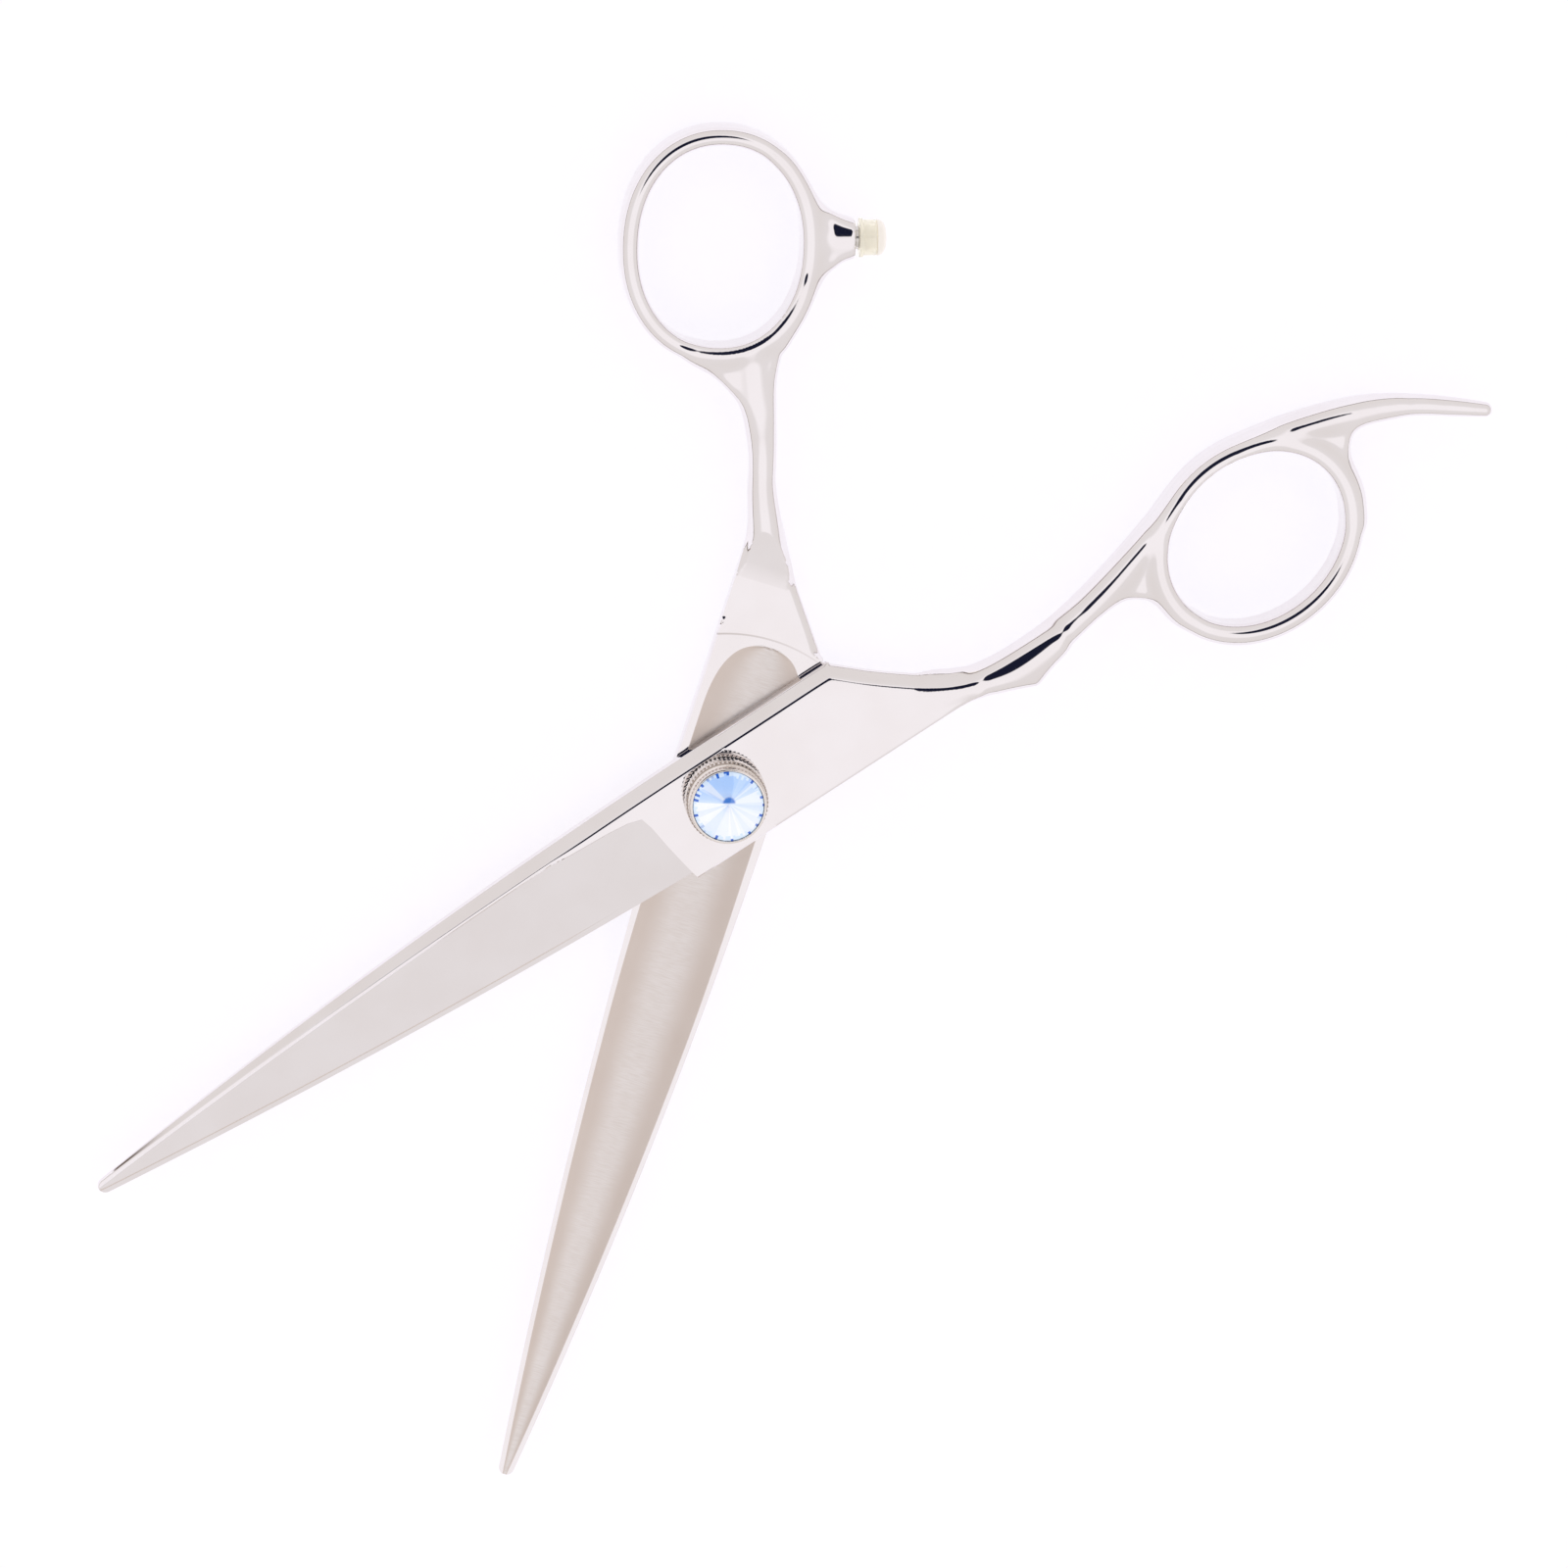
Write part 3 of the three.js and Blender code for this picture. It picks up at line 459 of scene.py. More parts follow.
def outline_gap(points, x, y):
    """Signed level distance from a smooth closed outline: below zero inside it."""
    rows = [(px, py, 0, 0, 0) for px, py in points]
    path = spread(rows, 6, closed=True)
    gap = nearest(path, x, y)[:, 0]
    inside = np.zeros(len(x), bool)
    for (ax, ay), (bx, by) in zip(path[:-1, :2], path[1:, :2]):
        crosses = (ay > y) != (by > y)
        if ay != by:
            inside ^= crosses & (x < ax + (y - ay) / (by - ay) * (bx - ax))
    return np.where(inside, -gap, gap)


def web_field(outline, low, high, taper, x, y, z):
    tall = (high - low) / 2 * (0.3 + 0.7 * smoothstep(*taper, x))
    return soft_max(outline_gap(outline, x, y), np.abs(z - (low + high) / 2) - tall, 1.3)


def hole_field(ring, x, y):
    turn = math.radians(ring["turn"])
    dx, dy = x - ring["x"], y - ring["y"]
    u = np.abs(dx * math.cos(turn) + dy * math.sin(turn)) / ring["long"]
    v = np.abs(-dx * math.sin(turn) + dy * math.cos(turn)) / ring["short"]
    return (1 - (u ** ring["square"] + v ** ring["square"]) ** (1 / ring["square"])) * ring["short"]


# %% [markdown]
# ## The back of the plate
# Behind the pivot the spine side turns in and runs across to the neck. The field of this part is
# an intersection: below the top, above the inner face, inside the edge side, inside the diagonal
# wall and under its bevel. A soft maximum leaves each meeting line with a small polished radius.

# %% Field of the plate behind the pivot
WALL_LEAN = 0.06
INNER_BEVEL = 0.9
PLATE_END = -31.5
CREST_LEAN, CREST_PULL = 0.16, 0.04  # how far the visible crest of a shank or ring leans over
SCOOP_X, WHEEL_RADIUS, WHEEL_ENTRY = -24.1, 28.0, math.radians(10)
FINGER_SIDE = [(5.0, -6.3), (-8.0, -6.3), (-17.4, -6.3), (-18.3, -5.9), (-21.5, -3.0), (-24.8, -0.3),
               (-28.2, 2.2), (-31.0, 3.4), (-36, 5.0)]
THUMB_SIDE = [(5.0, -6.3), (-8.0, -6.3), (-17.4, -6.3), (-18.2, -5.9), (-21.4, -3.5), (-25.7, -0.3),
              (-30.2, 2.6), (-36, 5.6)]


def side_gap(line, x, y):
    """Signed level distance from the spine side: above zero outside."""
    line = np.asarray(line)
    path = np.column_stack([line, np.zeros((len(line), 3))])
    gap = nearest(spread(path, 6), x, y)[:, 0]
    across = np.interp(-x, -line[:, 0], line[:, 1])
    return np.where(y < across, gap, -gap)


def lean(height, way, rise, run):
    """Signed distance from a sloping face that climbs by rise while it goes in by run."""
    return (height * run + way * rise) / math.hypot(rise, run)


def plate_field(line, x, y, z):
    gap = side_gap(line, x, y)
    half = THICKNESS / 2
    wall = gap + WALL_LEAN * clamp01(z / half)
    bevel = lean(z - half, gap + WALL_LEAN, half, float(bevel_run(0)) - WALL_LEAN)
    solid = soft_max(soft_max(z - THICKNESS, bevel, 0.22), wall, 0.12)
    corner = lean(z - THICKNESS + 0.15, y - HALF_WIDTH, 1, 1)
    solid = soft_max(soft_max(solid, y - HALF_WIDTH, 0.08), corner, 0.05)
    solid = soft_max(solid, inner_z(x, y) - z, 0.06)
    fade = 1.2 * (1 - smoothstep(-16.8, -18.4, x))
    solid = soft_max(solid, lean(RELIEF - z, gap + INNER_BEVEL, 0.75, INNER_BEVEL) - fade, 0.12)
    return np.maximum(soft_max(solid, PLATE_END - x, 1.5), x - (SEAM_X + 0.4))


def wheel_field(x, y, z):
    """Below zero outside the grinding wheel that sank the inner face and left a scoop in the neck."""
    centre_x = SCOOP_X + WHEEL_RADIUS * math.sin(WHEEL_ENTRY)
    centre_z = RELIEF - WHEEL_RADIUS * math.cos(WHEEL_ENTRY)
    wheel = WHEEL_RADIUS - np.hypot(x - centre_x, z - centre_z)
    return np.where(x > SCOOP_X, inner_z(x, y) - z, wheel)


HALVES = {
    "finger": dict(shank=FINGER_SHANK, ring=FINGER_RING, side=FINGER_SIDE, webs=FINGER_WEBS, seen=1,
                   shear=CREST_LEAN, low=(-98.2, -7.2), high=22.0),
    "thumb": dict(shank=THUMB_SHANK, ring=THUMB_RING, side=THUMB_SIDE, webs=THUMB_WEBS, seen=-1,
                  shear=0.0, low=(-74.4, -7.2), high=33.0),
}


def handle_field(kind):
    half = HALVES[kind]
    ring = half["ring"]
    shank_path = spread(half["shank"])
    ring_path = spread(ring_stations(ring), 2, closed=True)

    def value(x, y, z):
        above = np.maximum(half["seen"] * (z - RING_LIFT) - 0.1, 0)
        pull = 1 + CREST_PULL * above / ring["short"]
        pulled_x = ring["x"] + (x - ring["x"]) * pull
        pulled_y = ring["y"] + (y - ring["y"]) * pull
        solid = bar_field(nearest(ring_path, pulled_x, pulled_y), z)
        shear = half["shear"] * np.maximum(z - 0.4, 0)
        solid = soft_min(solid, bar_field(nearest(shank_path, x, y - shear), z), 0.9)
        for outline, low, high, taper in half["webs"]:
            solid = soft_min(solid, web_field(outline, low, high, taper, x, y, z), 1.5)
        if kind == "thumb":
            solid = soft_min(solid, boss_field(x, y, z), 1.2)
            solid = soft_max(solid, -boss_inward(x, y), 0.25)
        solid = soft_max(solid, hole_field(ring, x, y), 0.25)
        near = x > PLATE_END - 2.5
        plate = np.full(x.shape, 50.0)
        if near.any():
            plate[near] = plate_field(half["side"], x[near], y[near], z[near])
        solid = soft_min(solid, plate, 1.0)
        return np.where(x < SEAM_X - 1.0, soft_max(solid, wheel_field(x, y, z), 0.04), solid)

    return value


# %% [markdown]
# ## From a field to a skin
# The field is sampled on a fine grid. Every grid cell that the surface crosses gets one point, and
# neighbouring points are joined into squares. The points are then slid along the surface until
# they are evenly spread, and pushed exactly onto it, which removes the stair steps of the grid.

# %% Skin of a field
# the ring's highest and lowest lines fall midway between two levels of the grid
GRID = RING_HEIGHT / 24
GRID_FLOOR = RING_LIFT - RING_HEIGHT / 2 - 2.5 * GRID
NUDGE = 0.004


def sample(field, low, high, step):
    axes = [np.arange(low[i], high[i] + step, step) for i in range(3)]
    gx, gy = np.meshgrid(axes[0], axes[1], indexing="ij")
    values = np.empty((len(axes[0]), len(axes[1]), len(axes[2])), np.float64)
    for k, z in enumerate(axes[2]):
        values[:, :, k] = field(gx.ravel(), gy.ravel(), np.full(gx.size, z)).reshape(gx.shape)
    return axes, values


def skin_of(field, low, high, step):
    axes, values = sample(field, low, high, step)
    shape = np.array(values.shape) - 1
    total, count = np.zeros((int(shape.prod()), 3)), np.zeros(int(shape.prod()))
    quads = []
    for axis in range(3):
        near = [slice(None)] * 3
        far = [slice(None)] * 3
        near[axis], far[axis] = slice(0, -1), slice(1, None)
        a, b = values[tuple(near)], values[tuple(far)]
        crossing = np.argwhere((a < 0) != (b < 0))
        va, vb = a[tuple(crossing.T)], b[tuple(crossing.T)]
        place = crossing.astype(float)
        place[:, axis] += va / (va - vb)
        others = [(axis + 1) % 3, (axis + 2) % 3]
        keep = np.all((crossing[:, others] > 0) & (crossing[:, others] < shape[others]), axis=1)
        crossing, place, va = crossing[keep], place[keep], va[keep]
        corner = []
        for du, dv in ((0, 0), (-1, 0), (-1, -1), (0, -1)):
            cell = crossing.copy()
            cell[:, others[0]] += du
            cell[:, others[1]] += dv
            index = np.ravel_multi_index(cell.T, shape)
            np.add.at(total, index, place)
            np.add.at(count, index, 1)
            corner.append(index)
        quad = np.stack(corner, 1)
        quad[va > 0] = quad[va > 0][:, ::-1]
        quads.append(quad)
    used = np.flatnonzero(count)
    renumber = np.full(len(count), -1)
    renumber[used] = np.arange(len(used))
    points = total[used] / count[used][:, None] * step + np.array(low)
    return points, renumber[np.concatenate(quads)]


def settle(field, points, quads, rounds=4):
    """Slide the points until they are evenly spread, and push them onto the surface."""
    sides = np.concatenate([quads[:, [k, (k + 1) % 4]] for k in range(4)])
    edges = np.unique(np.sort(sides, 1), axis=0)
    degree = np.bincount(edges.ravel(), minlength=len(points))[:, None]
    for turn in range(rounds):
        x, y, z = points.T
        value = field(x, y, z)
        slope = np.stack([field(x + NUDGE, y, z), field(x, y + NUDGE, z), field(x, y, z + NUDGE)], 1)
        slope = (slope - value[:, None]) / NUDGE
        size2 = np.maximum((slope**2).sum(1), 0.04)
        step = np.clip(value / size2, -0.12, 0.12)
        points = points - step[:, None] * slope
        if turn < rounds - 2:
            middle = np.zeros_like(points)
            np.add.at(middle, edges[:, 0], points[edges[:, 1]])
            np.add.at(middle, edges[:, 1], points[edges[:, 0]])
            pull = (middle / degree - points) * 0.6
            along = slope / np.sqrt(size2)[:, None]
            points = points + pull - (pull * along).sum(1)[:, None] * along
    return points


def handle_mesh(kind):
    field, half = handle_field(kind), HALVES[kind]
    low, high = (*half["low"], GRID_FLOOR), (SEAM_X + 1, half["high"], 3.6)
    points, quads = skin_of(field, low, high, GRID)
    return mesh_from(kind + "_handle", settle(field, points, quads), quads)


finger_handle, thumb_handle = handle_mesh("finger"), handle_mesh("thumb")
for mesh in (finger_handle, thumb_handle):
    print(mesh.name, len(mesh.polygons), "faces")

# %% [markdown]
# ## Joining each blade to its handle
# The two skins overlap a little in front of the seam, so a union gives one forging. The pivot hole
# is then drilled, and the finger half gets a shallow seat for the washer between the halves.

# %% Join each blade to its handle
SCREW_BORE, WASHER_SEAT, BUSHING_BORE = 2.25, 4.15, 2.95


def round_tool(radius, low, high, sides=96):
    angles = np.arange(sides) * 2 * math.pi / sides
    ring = np.column_stack([radius * np.cos(angles), radius * np.sin(angles)])
    points = [(x, y, z) for z in (low, high) for x, y in ring]
    faces = [(i, (i + 1) % sides, sides + (i + 1) % sides, sides + i) for i in range(sides)]
    faces += [tuple(range(sides))[::-1], tuple(range(sides, 2 * sides))]
    return mesh_from("tool", points, faces)


finger_mesh = cut(finger_blade, finger_handle, "UNION")
finger_mesh = cut(finger_mesh, round_tool(SCREW_BORE, -1, 4))
finger_mesh = cut(finger_mesh, round_tool(WASHER_SEAT, -1, 0.5))
thumb_mesh = cut(thumb_blade, thumb_handle, "UNION")
thumb_mesh = cut(thumb_mesh, round_tool(BUSHING_BORE, -1, 4))
for mesh in (finger_mesh, thumb_mesh):
    smooth_by_angle(mesh, 32)
    print(mesh.name, len(mesh.polygons), "faces")

# %% [markdown]
# ## Writing shader maths as sums
# A finish is easier to read as an expression than as boxes and noodles. A Wire wraps one socket,
# and adding or multiplying wires lays down the Math nodes. A Finish owns one material, and its
# node method places any other node from its type, its settings and its socket values.

# %% Wires and finishes
class Wire:
    """One output socket that can be used in a sum."""

    def __init__(self, finish, socket):
        self.finish, self.socket = finish, socket

    def maths(self, operation, *values):
        return self.finish.node("ShaderNodeMath", {"operation": operation}, dict(enumerate(values)))

    def __add__(self, other):
        return self.maths("ADD", self, other)

    def __sub__(self, other):
        return self.maths("SUBTRACT", self, other)

    def __rsub__(self, other):
        return self.maths("SUBTRACT", other, self)

    def __mul__(self, other):
        return self.maths("MULTIPLY", self, other)

    def __truediv__(self, other):
        return self.maths("DIVIDE", self, other)

    def __pow__(self, other):
        return self.maths("POWER", self, other)

    __radd__, __rmul__ = __add__, __mul__

    def rise(self, low, high):
        """Zero below low, one above high, and a soft step between."""
        sockets = {"Value": self, "From Min": low, "From Max": high}
        return self.finish.node("ShaderNodeMapRange", {"interpolation_type": "SMOOTHSTEP"}, sockets)


class Finish:
    """A material made from expressions."""

    def __init__(self, name):
        self.material = bpy.data.materials.new(name)
        self.material.use_nodes = True
        self.tree = self.material.node_tree
        self.tree.nodes.clear()

    def node(self, kind, settings=None, sockets=None, out=0):
        made = self.tree.nodes.new(kind)
        for key, value in (settings or {}).items():
            if key == "stops":
                ramp = made.color_ramp
                while len(ramp.elements) < len(value):
                    ramp.elements.new(0.5)
                for element, (position, colour) in zip(ramp.elements, value):
                    element.position, element.color = position, (*colour, 1)
            else:
                setattr(made, key, value)
        for key, value in (sockets or {}).items():
            if isinstance(value, Wire):
                self.tree.links.new(value.socket, made.inputs[key])
            elif value is not None:
                made.inputs[key].default_value = value
        return Wire(self, made.outputs[out]) if len(made.outputs) else None

    def place(self, shift=(0, 0, 0), turn=(0, 0, 0)):
        """Position on the piece in millimetres, in any frame, as three wires and one vector."""
        raw = self.node("ShaderNodeTexCoord", out="Object")
        sockets = {"Vector": raw, "Location": shift, "Rotation": turn, "Scale": (1 / MM,) * 3}
        grown = self.node("ShaderNodeMapping", None, sockets)
        split = self.node("ShaderNodeSeparateXYZ", None, {0: grown})
        outputs = split.socket.node.outputs
        return Wire(self, outputs["X"]), Wire(self, outputs["Y"]), Wire(self, outputs["Z"]), grown

    def noise(self, vector, scale, detail=2.0, roughness=0.5):
        sockets = {"Vector": vector, "Scale": scale, "Detail": detail, "Roughness": roughness}
        return self.node("ShaderNodeTexNoise", None, sockets)

    def stretched(self, vector, x, y, z):
        return self.node("ShaderNodeVectorMath", {"operation": "MULTIPLY"}, {0: vector, 1: (x, y, z)})

    def colour(self, factor, first, second):
        made = self.node("ShaderNodeMix", {"data_type": "RGBA"}, {0: factor}, out=2)
        for index, value in ((6, first), (7, second)):
            if isinstance(value, Wire):
                self.tree.links.new(value.socket, made.socket.node.inputs[index])
            else:
                made.socket.node.inputs[index].default_value = (*value, 1)
        return made

    def bump(self, height, strength, distance=0.00002):
        sockets = {"Height": height, "Strength": strength, "Distance": distance}
        return self.node("ShaderNodeBump", None, sockets, out="Normal")

    def done(self, **sockets):
        named = {key.replace("_", " "): value for key, value in sockets.items()}
        for key, value in named.items():
            if isinstance(value, tuple) and len(value) == 3:
                named[key] = (*value, 1)
        shader = self.node("ShaderNodeBsdfPrincipled", None, named)
        self.node("ShaderNodeOutputMaterial", None, {"Surface": shader})
        print("finish", self.material.name, "with", len(self.tree.nodes), "nodes")
        return self.material


# %% [markdown]
# ## Polished steel with a satin hollow
# The forgings are buffed to a mirror, so their colour is mostly what they reflect, a little warm.
# The hollow of the inner face is ground, not buffed: it stays satin, with a fine grain across the
# blade. One material does both, and finds the hollow from the place on the half itself. A darker
# line is painted along the step of the ride arc on the inner face, as a painted reflection.

# %% Finish of the forgings
def forged_steel(name, shift, turn):
    f = Finish(name)
    x, y, z, place = f.place(shift, turn)
    share = x.maths("MAXIMUM", x, 0.0) * (1 / CUTTING_LENGTH)
    edge = (1 - share) * (1 + share * EDGE_BOW) * HALF_WIDTH
    spine = share * share * (HALF_WIDTH - TIP_WIDTH) - HALF_WIDTH
    behind = x.maths("MAXIMUM", (ARCH_START - x) * (1 / ARCH_REACH), 0.0)
    arch = x.maths("MAXIMUM", 1 - behind**ARCH_POWER, 0.0) ** (1 / ARCH_POWER)
    middle = (edge + spine) * 0.5
    ride = 0.5 + 0.4 * (1 - x.rise(0, 30))
    half = ((edge - spine) * 0.5 - ride) * arch
    off = x.maths("ABSOLUTE", y - middle)
    inside = (half - off).rise(0, 0.12) * (1 - z.rise(0.27, 0.3)) * x.rise(-17.4, -17.2)
    grain = f.noise(f.stretched(place, 9, 0.7, 1), 1.0, 3.0)
    fine = f.noise(f.stretched(place, 22, 1.4, 1), 1.0, 2.0)
    cloud = f.noise(place, 0.16, 2.0)
    polish = f.noise(place, 1.1, 3.0)
    centre = (1 - x.maths("ABSOLUTE", (off / (half + 0.01)) - 0.1)).rise(0.3, 0.95)
    warm = f.colour(centre * 0.8 + cloud * 0.3, (0.66, 0.575, 0.515), (0.82, 0.78, 0.755))
    satin = f.colour(grain.rise(0.35, 0.7) * 0.35, warm, (0.70, 0.63, 0.575))
    bright = f.colour(cloud.rise(0.3, 0.7), (0.86, 0.83, 0.83), (0.88, 0.855, 0.86))
    colour = f.colour(inside, bright, satin)
    # painted reflection: a darker line along the step of the ride arc on the inner face, stronger towards
    # the edge side
    radius = (x * x + y * y) ** 0.5
    arc = (0.16 - x.maths("ABSOLUTE", radius - RIDE_RADIUS - 0.2)).rise(0, 0.12)
    arc = arc * x.rise(-12, -14) * (1 - z.rise(0.25, 0.4)) * (y * 0.06 + 0.62)
    colour = f.colour(arc, colour, (0.60, 0.56, 0.54))
    rough = inside * (0.3 + grain * 0.16) + (1 - inside) * (0.035 + polish * 0.03)
    height = inside * (grain + fine) + (1 - inside) * polish * 0.02
    return f.done(Base_Color=colour, Metallic=1.0, Roughness=rough, Normal=f.bump(height, 0.12))


FINGER_STEEL = forged_steel("finger_steel", (0, 0, -MEETING_PLANE), (0, 0, OPENING / 2))
THUMB_STEEL = forged_steel("thumb_steel", (0, 0, MEETING_PLANE), (math.pi, 0, OPENING / 2))

# %% [markdown]
# ## The two forgings in their places
# Each forging was drawn in its half frame. Its points are now moved to the object's own frame.

# %% Place the two forgings
finger_mesh.transform(FINGER_PLACE)
thumb_mesh.transform(THUMB_PLACE)
finger = add_object("finger_forging", finger_mesh)
fit_out(finger, "finger_body", ["finger_half"], FINGER_STEEL)
thumb = add_object("thumb_forging", thumb_mesh)
fit_out(thumb, "thumb_body", ["thumb_half"], THUMB_STEEL)


# %% [markdown]
# ## Small turned pieces
# The other metal pieces come off a lathe, so each is a profile swept round an axis.

# %% Turning
def turned(name, profile, sides=96, radius_at=None):
    """A closed solid from a profile of (radius, z) swept round the axis."""
    rows = len(profile)
    points, faces = [], []
    for s in range(sides):
        angle = 2 * math.pi * s / sides
        for r, z in profile:
            if radius_at:
                r = radius_at(r, z, angle)
            points.append((r * math.cos(angle), r * math.sin(angle), z))
    for s in range(sides):
        t = (s + 1) % sides
        for i in range(rows):
            j = (i + 1) % rows
            faces.append((s * rows + i, t * rows + i, t * rows + j, s * rows + j))
    return weld(mesh_from(name, points, faces), drop_flat=True)


def soft_profile(corners):
    """A lathe profile with rounded corners, from (radius, z, corner radius)."""
    return [tuple(p) for p in rounded(corners)]


# %% [markdown]
# ## The dial
# A cup with a toothed flange, a groove above it, a knurled band and a smooth rim that holds the
# stone. The teeth are real cuts. The nickel is painted darker in the cuts and the groove, as painted shade.

# %% Dial
DIAL_Z, DIAL_HEIGHT = THICKNESS + 0.2, 5.0
FLANGE_TOP, KNURL_LOW, KNURL_HIGH, KNURL_TEETH = DIAL_Z + 0.95, DIAL_Z + 2.2, DIAL_Z + 3.35, 60
dial_top = DIAL_Z + DIAL_HEIGHT
SEAT = 4.06


def knurled(r, z, angle):
    on_flange = z < FLANGE_TOP
    on_band = KNURL_LOW < z < KNURL_HIGH
    if r > 4.6 and (on_flange or on_band):
        wave = abs(((angle * KNURL_TEETH / (2 * math.pi)) % 1) * 2 - 1)
        return r - (0.2 if on_flange else 0.14) * wave**0.8
    return r


dial_profile = soft_profile([
    (4.15, DIAL_Z, 0.03), (4.74, DIAL_Z, 0.12), (4.74, FLANGE_TOP - 0.1, 0.08), (4.46, FLANGE_TOP, 0.03),
    (4.46, FLANGE_TOP + 0.18, 0.03), (4.7, FLANGE_TOP + 0.26, 0.06), (4.7, KNURL_LOW - 0.02, 0.02),
    (4.7, KNURL_LOW + 0.05, 0.02), (4.7, KNURL_HIGH - 0.1, 0.05), (4.42, KNURL_HIGH + 0.1, 0.05),
    (4.34, KNURL_HIGH + 0.25, 0.1), (4.34, dial_top - 0.05, 0.16), (SEAT, dial_top, 0.08),
    (SEAT, dial_top - 0.72, 0.02), (2.1, dial_top - 2.2, 0.02), (2.1, DIAL_Z + 1.7, 0.02),
    (4.15, DIAL_Z + 1.7, 0.02)])
dial_mesh = turned("dial_ring", dial_profile, KNURL_TEETH * 8, knurled)
smooth_by_angle(dial_mesh, 38)


def plated(name, low, high, rough):
    f = Finish(name)
    place = f.place()[-1]
    cloud = f.noise(place, 0.8, 3.0)
    fine = f.noise(place, 14.0, 2.0)
    return f.done(Base_Color=f.colour(cloud, low, high), Metallic=1.0, Roughness=rough + fine * 0.08,
                  Normal=f.bump(fine, 0.06))


def knurled_nickel():
    f = Finish("dial_nickel")
    x, y, z, place = f.place()
    radius = (x * x + y * y) ** 0.5
    cloud = f.noise(place, 0.8, 3.0)
    # painted shade: the knurl cuts and the channel above the flange are painted dark brown
    cut_shade = (4.68 - radius).rise(0.0, 0.1) * (radius - 4.5).rise(0.0, 0.02)
    cut_shade = cut_shade * z.rise(KNURL_LOW - 0.05, KNURL_LOW)
    channel_shade = (z - FLANGE_TOP - 0.12).rise(0.14, 0.06) * (z - FLANGE_TOP + 0.06).rise(0.0, 0.05)
    groove = cut_shade.maths("MAXIMUM", cut_shade, channel_shade * 0.9)
    bright = f.colour(cloud, (0.80, 0.74, 0.69), (0.88, 0.84, 0.80))
    colour = f.colour(groove * 0.75, bright, (0.24, 0.17, 0.13))
    return f.done(Base_Color=colour, Metallic=1.0, Roughness=0.12 + cloud * 0.08)


NICKEL = knurled_nickel()
dial = add_object("tension_dial", dial_mesh, FINGER_PLACE)
fit_out(dial, "dial", ["dial_nut"], NICKEL)

# %% [markdown]
# ## The crystal
# A round pointed stone of flat facets. Each facet is painted its own blue as a painted reflection,
# one side is painted paler where the light enters, a painted dark shade sits near the middle on
# the other side, and small dark painted glints sit along the girdle. The stone also glows a little
# in its own colours, as painted light.

# %% Crystal
CRYSTAL_R, CRYSTAL_Z, GIRDLE, CROWN, PAVILION = 4.0, dial_top - 0.5, 0.35, 0.95, 1.5
FLAT = math.radians(0.4)


def hull_of(rings):
    """A hull round rings of corners, each ring from (radius, z, count, turn)."""
    work = bmesh.new()
    for r, z, count, turn in rings:
        for k in range(count if r else 1):
            angle = 2 * math.pi * (k + turn) / count
            work.verts.new(Vector((r * math.cos(angle), r * math.sin(angle), z)) * MM)
    return work, bmesh.ops.convex_hull(work, input=work.verts)


def merge_flat(work):
    bmesh.ops.dissolve_limit(work, angle_limit=FLAT, verts=work.verts, edges=work.edges)


def faceted(name, work):
    mesh = bpy.data.meshes.new(name)
    work.to_mesh(mesh)
    work.free()
    mesh.shade_flat()
    return mesh


def stone_skin(rings):
    work, hull = hull_of(rings)
    inside = [part for part in hull["geom_interior"] if isinstance(part, bmesh.types.BMVert)]
    bmesh.ops.delete(work, geom=inside, context="VERTS")
    merge_flat(work)
    return faceted("stone", work)


def cone_ring(share, flat_z, point_z, lift, count, turn):
    return (CRYSTAL_R * share, flat_z + (point_z - flat_z) * (1 - share) + lift, count, turn)


front = CRYSTAL_Z + GIRDLE
stone_rings = [
    (0, CRYSTAL_Z - PAVILION, 1, 0),
    cone_ring(0.72, CRYSTAL_Z, CRYSTAL_Z - PAVILION, -0.10, 16, 0.5),
    (CRYSTAL_R, CRYSTAL_Z, 32, 0.5),
    (CRYSTAL_R, front, 32, 0.5),
    cone_ring(0.70, front, front + CROWN, 0.10, 16, 0.0),
    (0, front + CROWN, 1, 0),
]
stone_mesh = stone_skin(stone_rings)
print("stone", len(stone_mesh.polygons), "facets")


def wedge(f, x, y, count, seed):
    """A number from 0 to 1 that is the same all over one wedge of the round stone."""
    angle = x.maths("ARCTAN2", y, x) * (count / (2 * math.pi)) + 0.5
    number = x.maths("FLOOR", angle)
    return f.node("ShaderNodeTexWhiteNoise", {"noise_dimensions": "1D"}, {"W": number + seed}, out="Value")


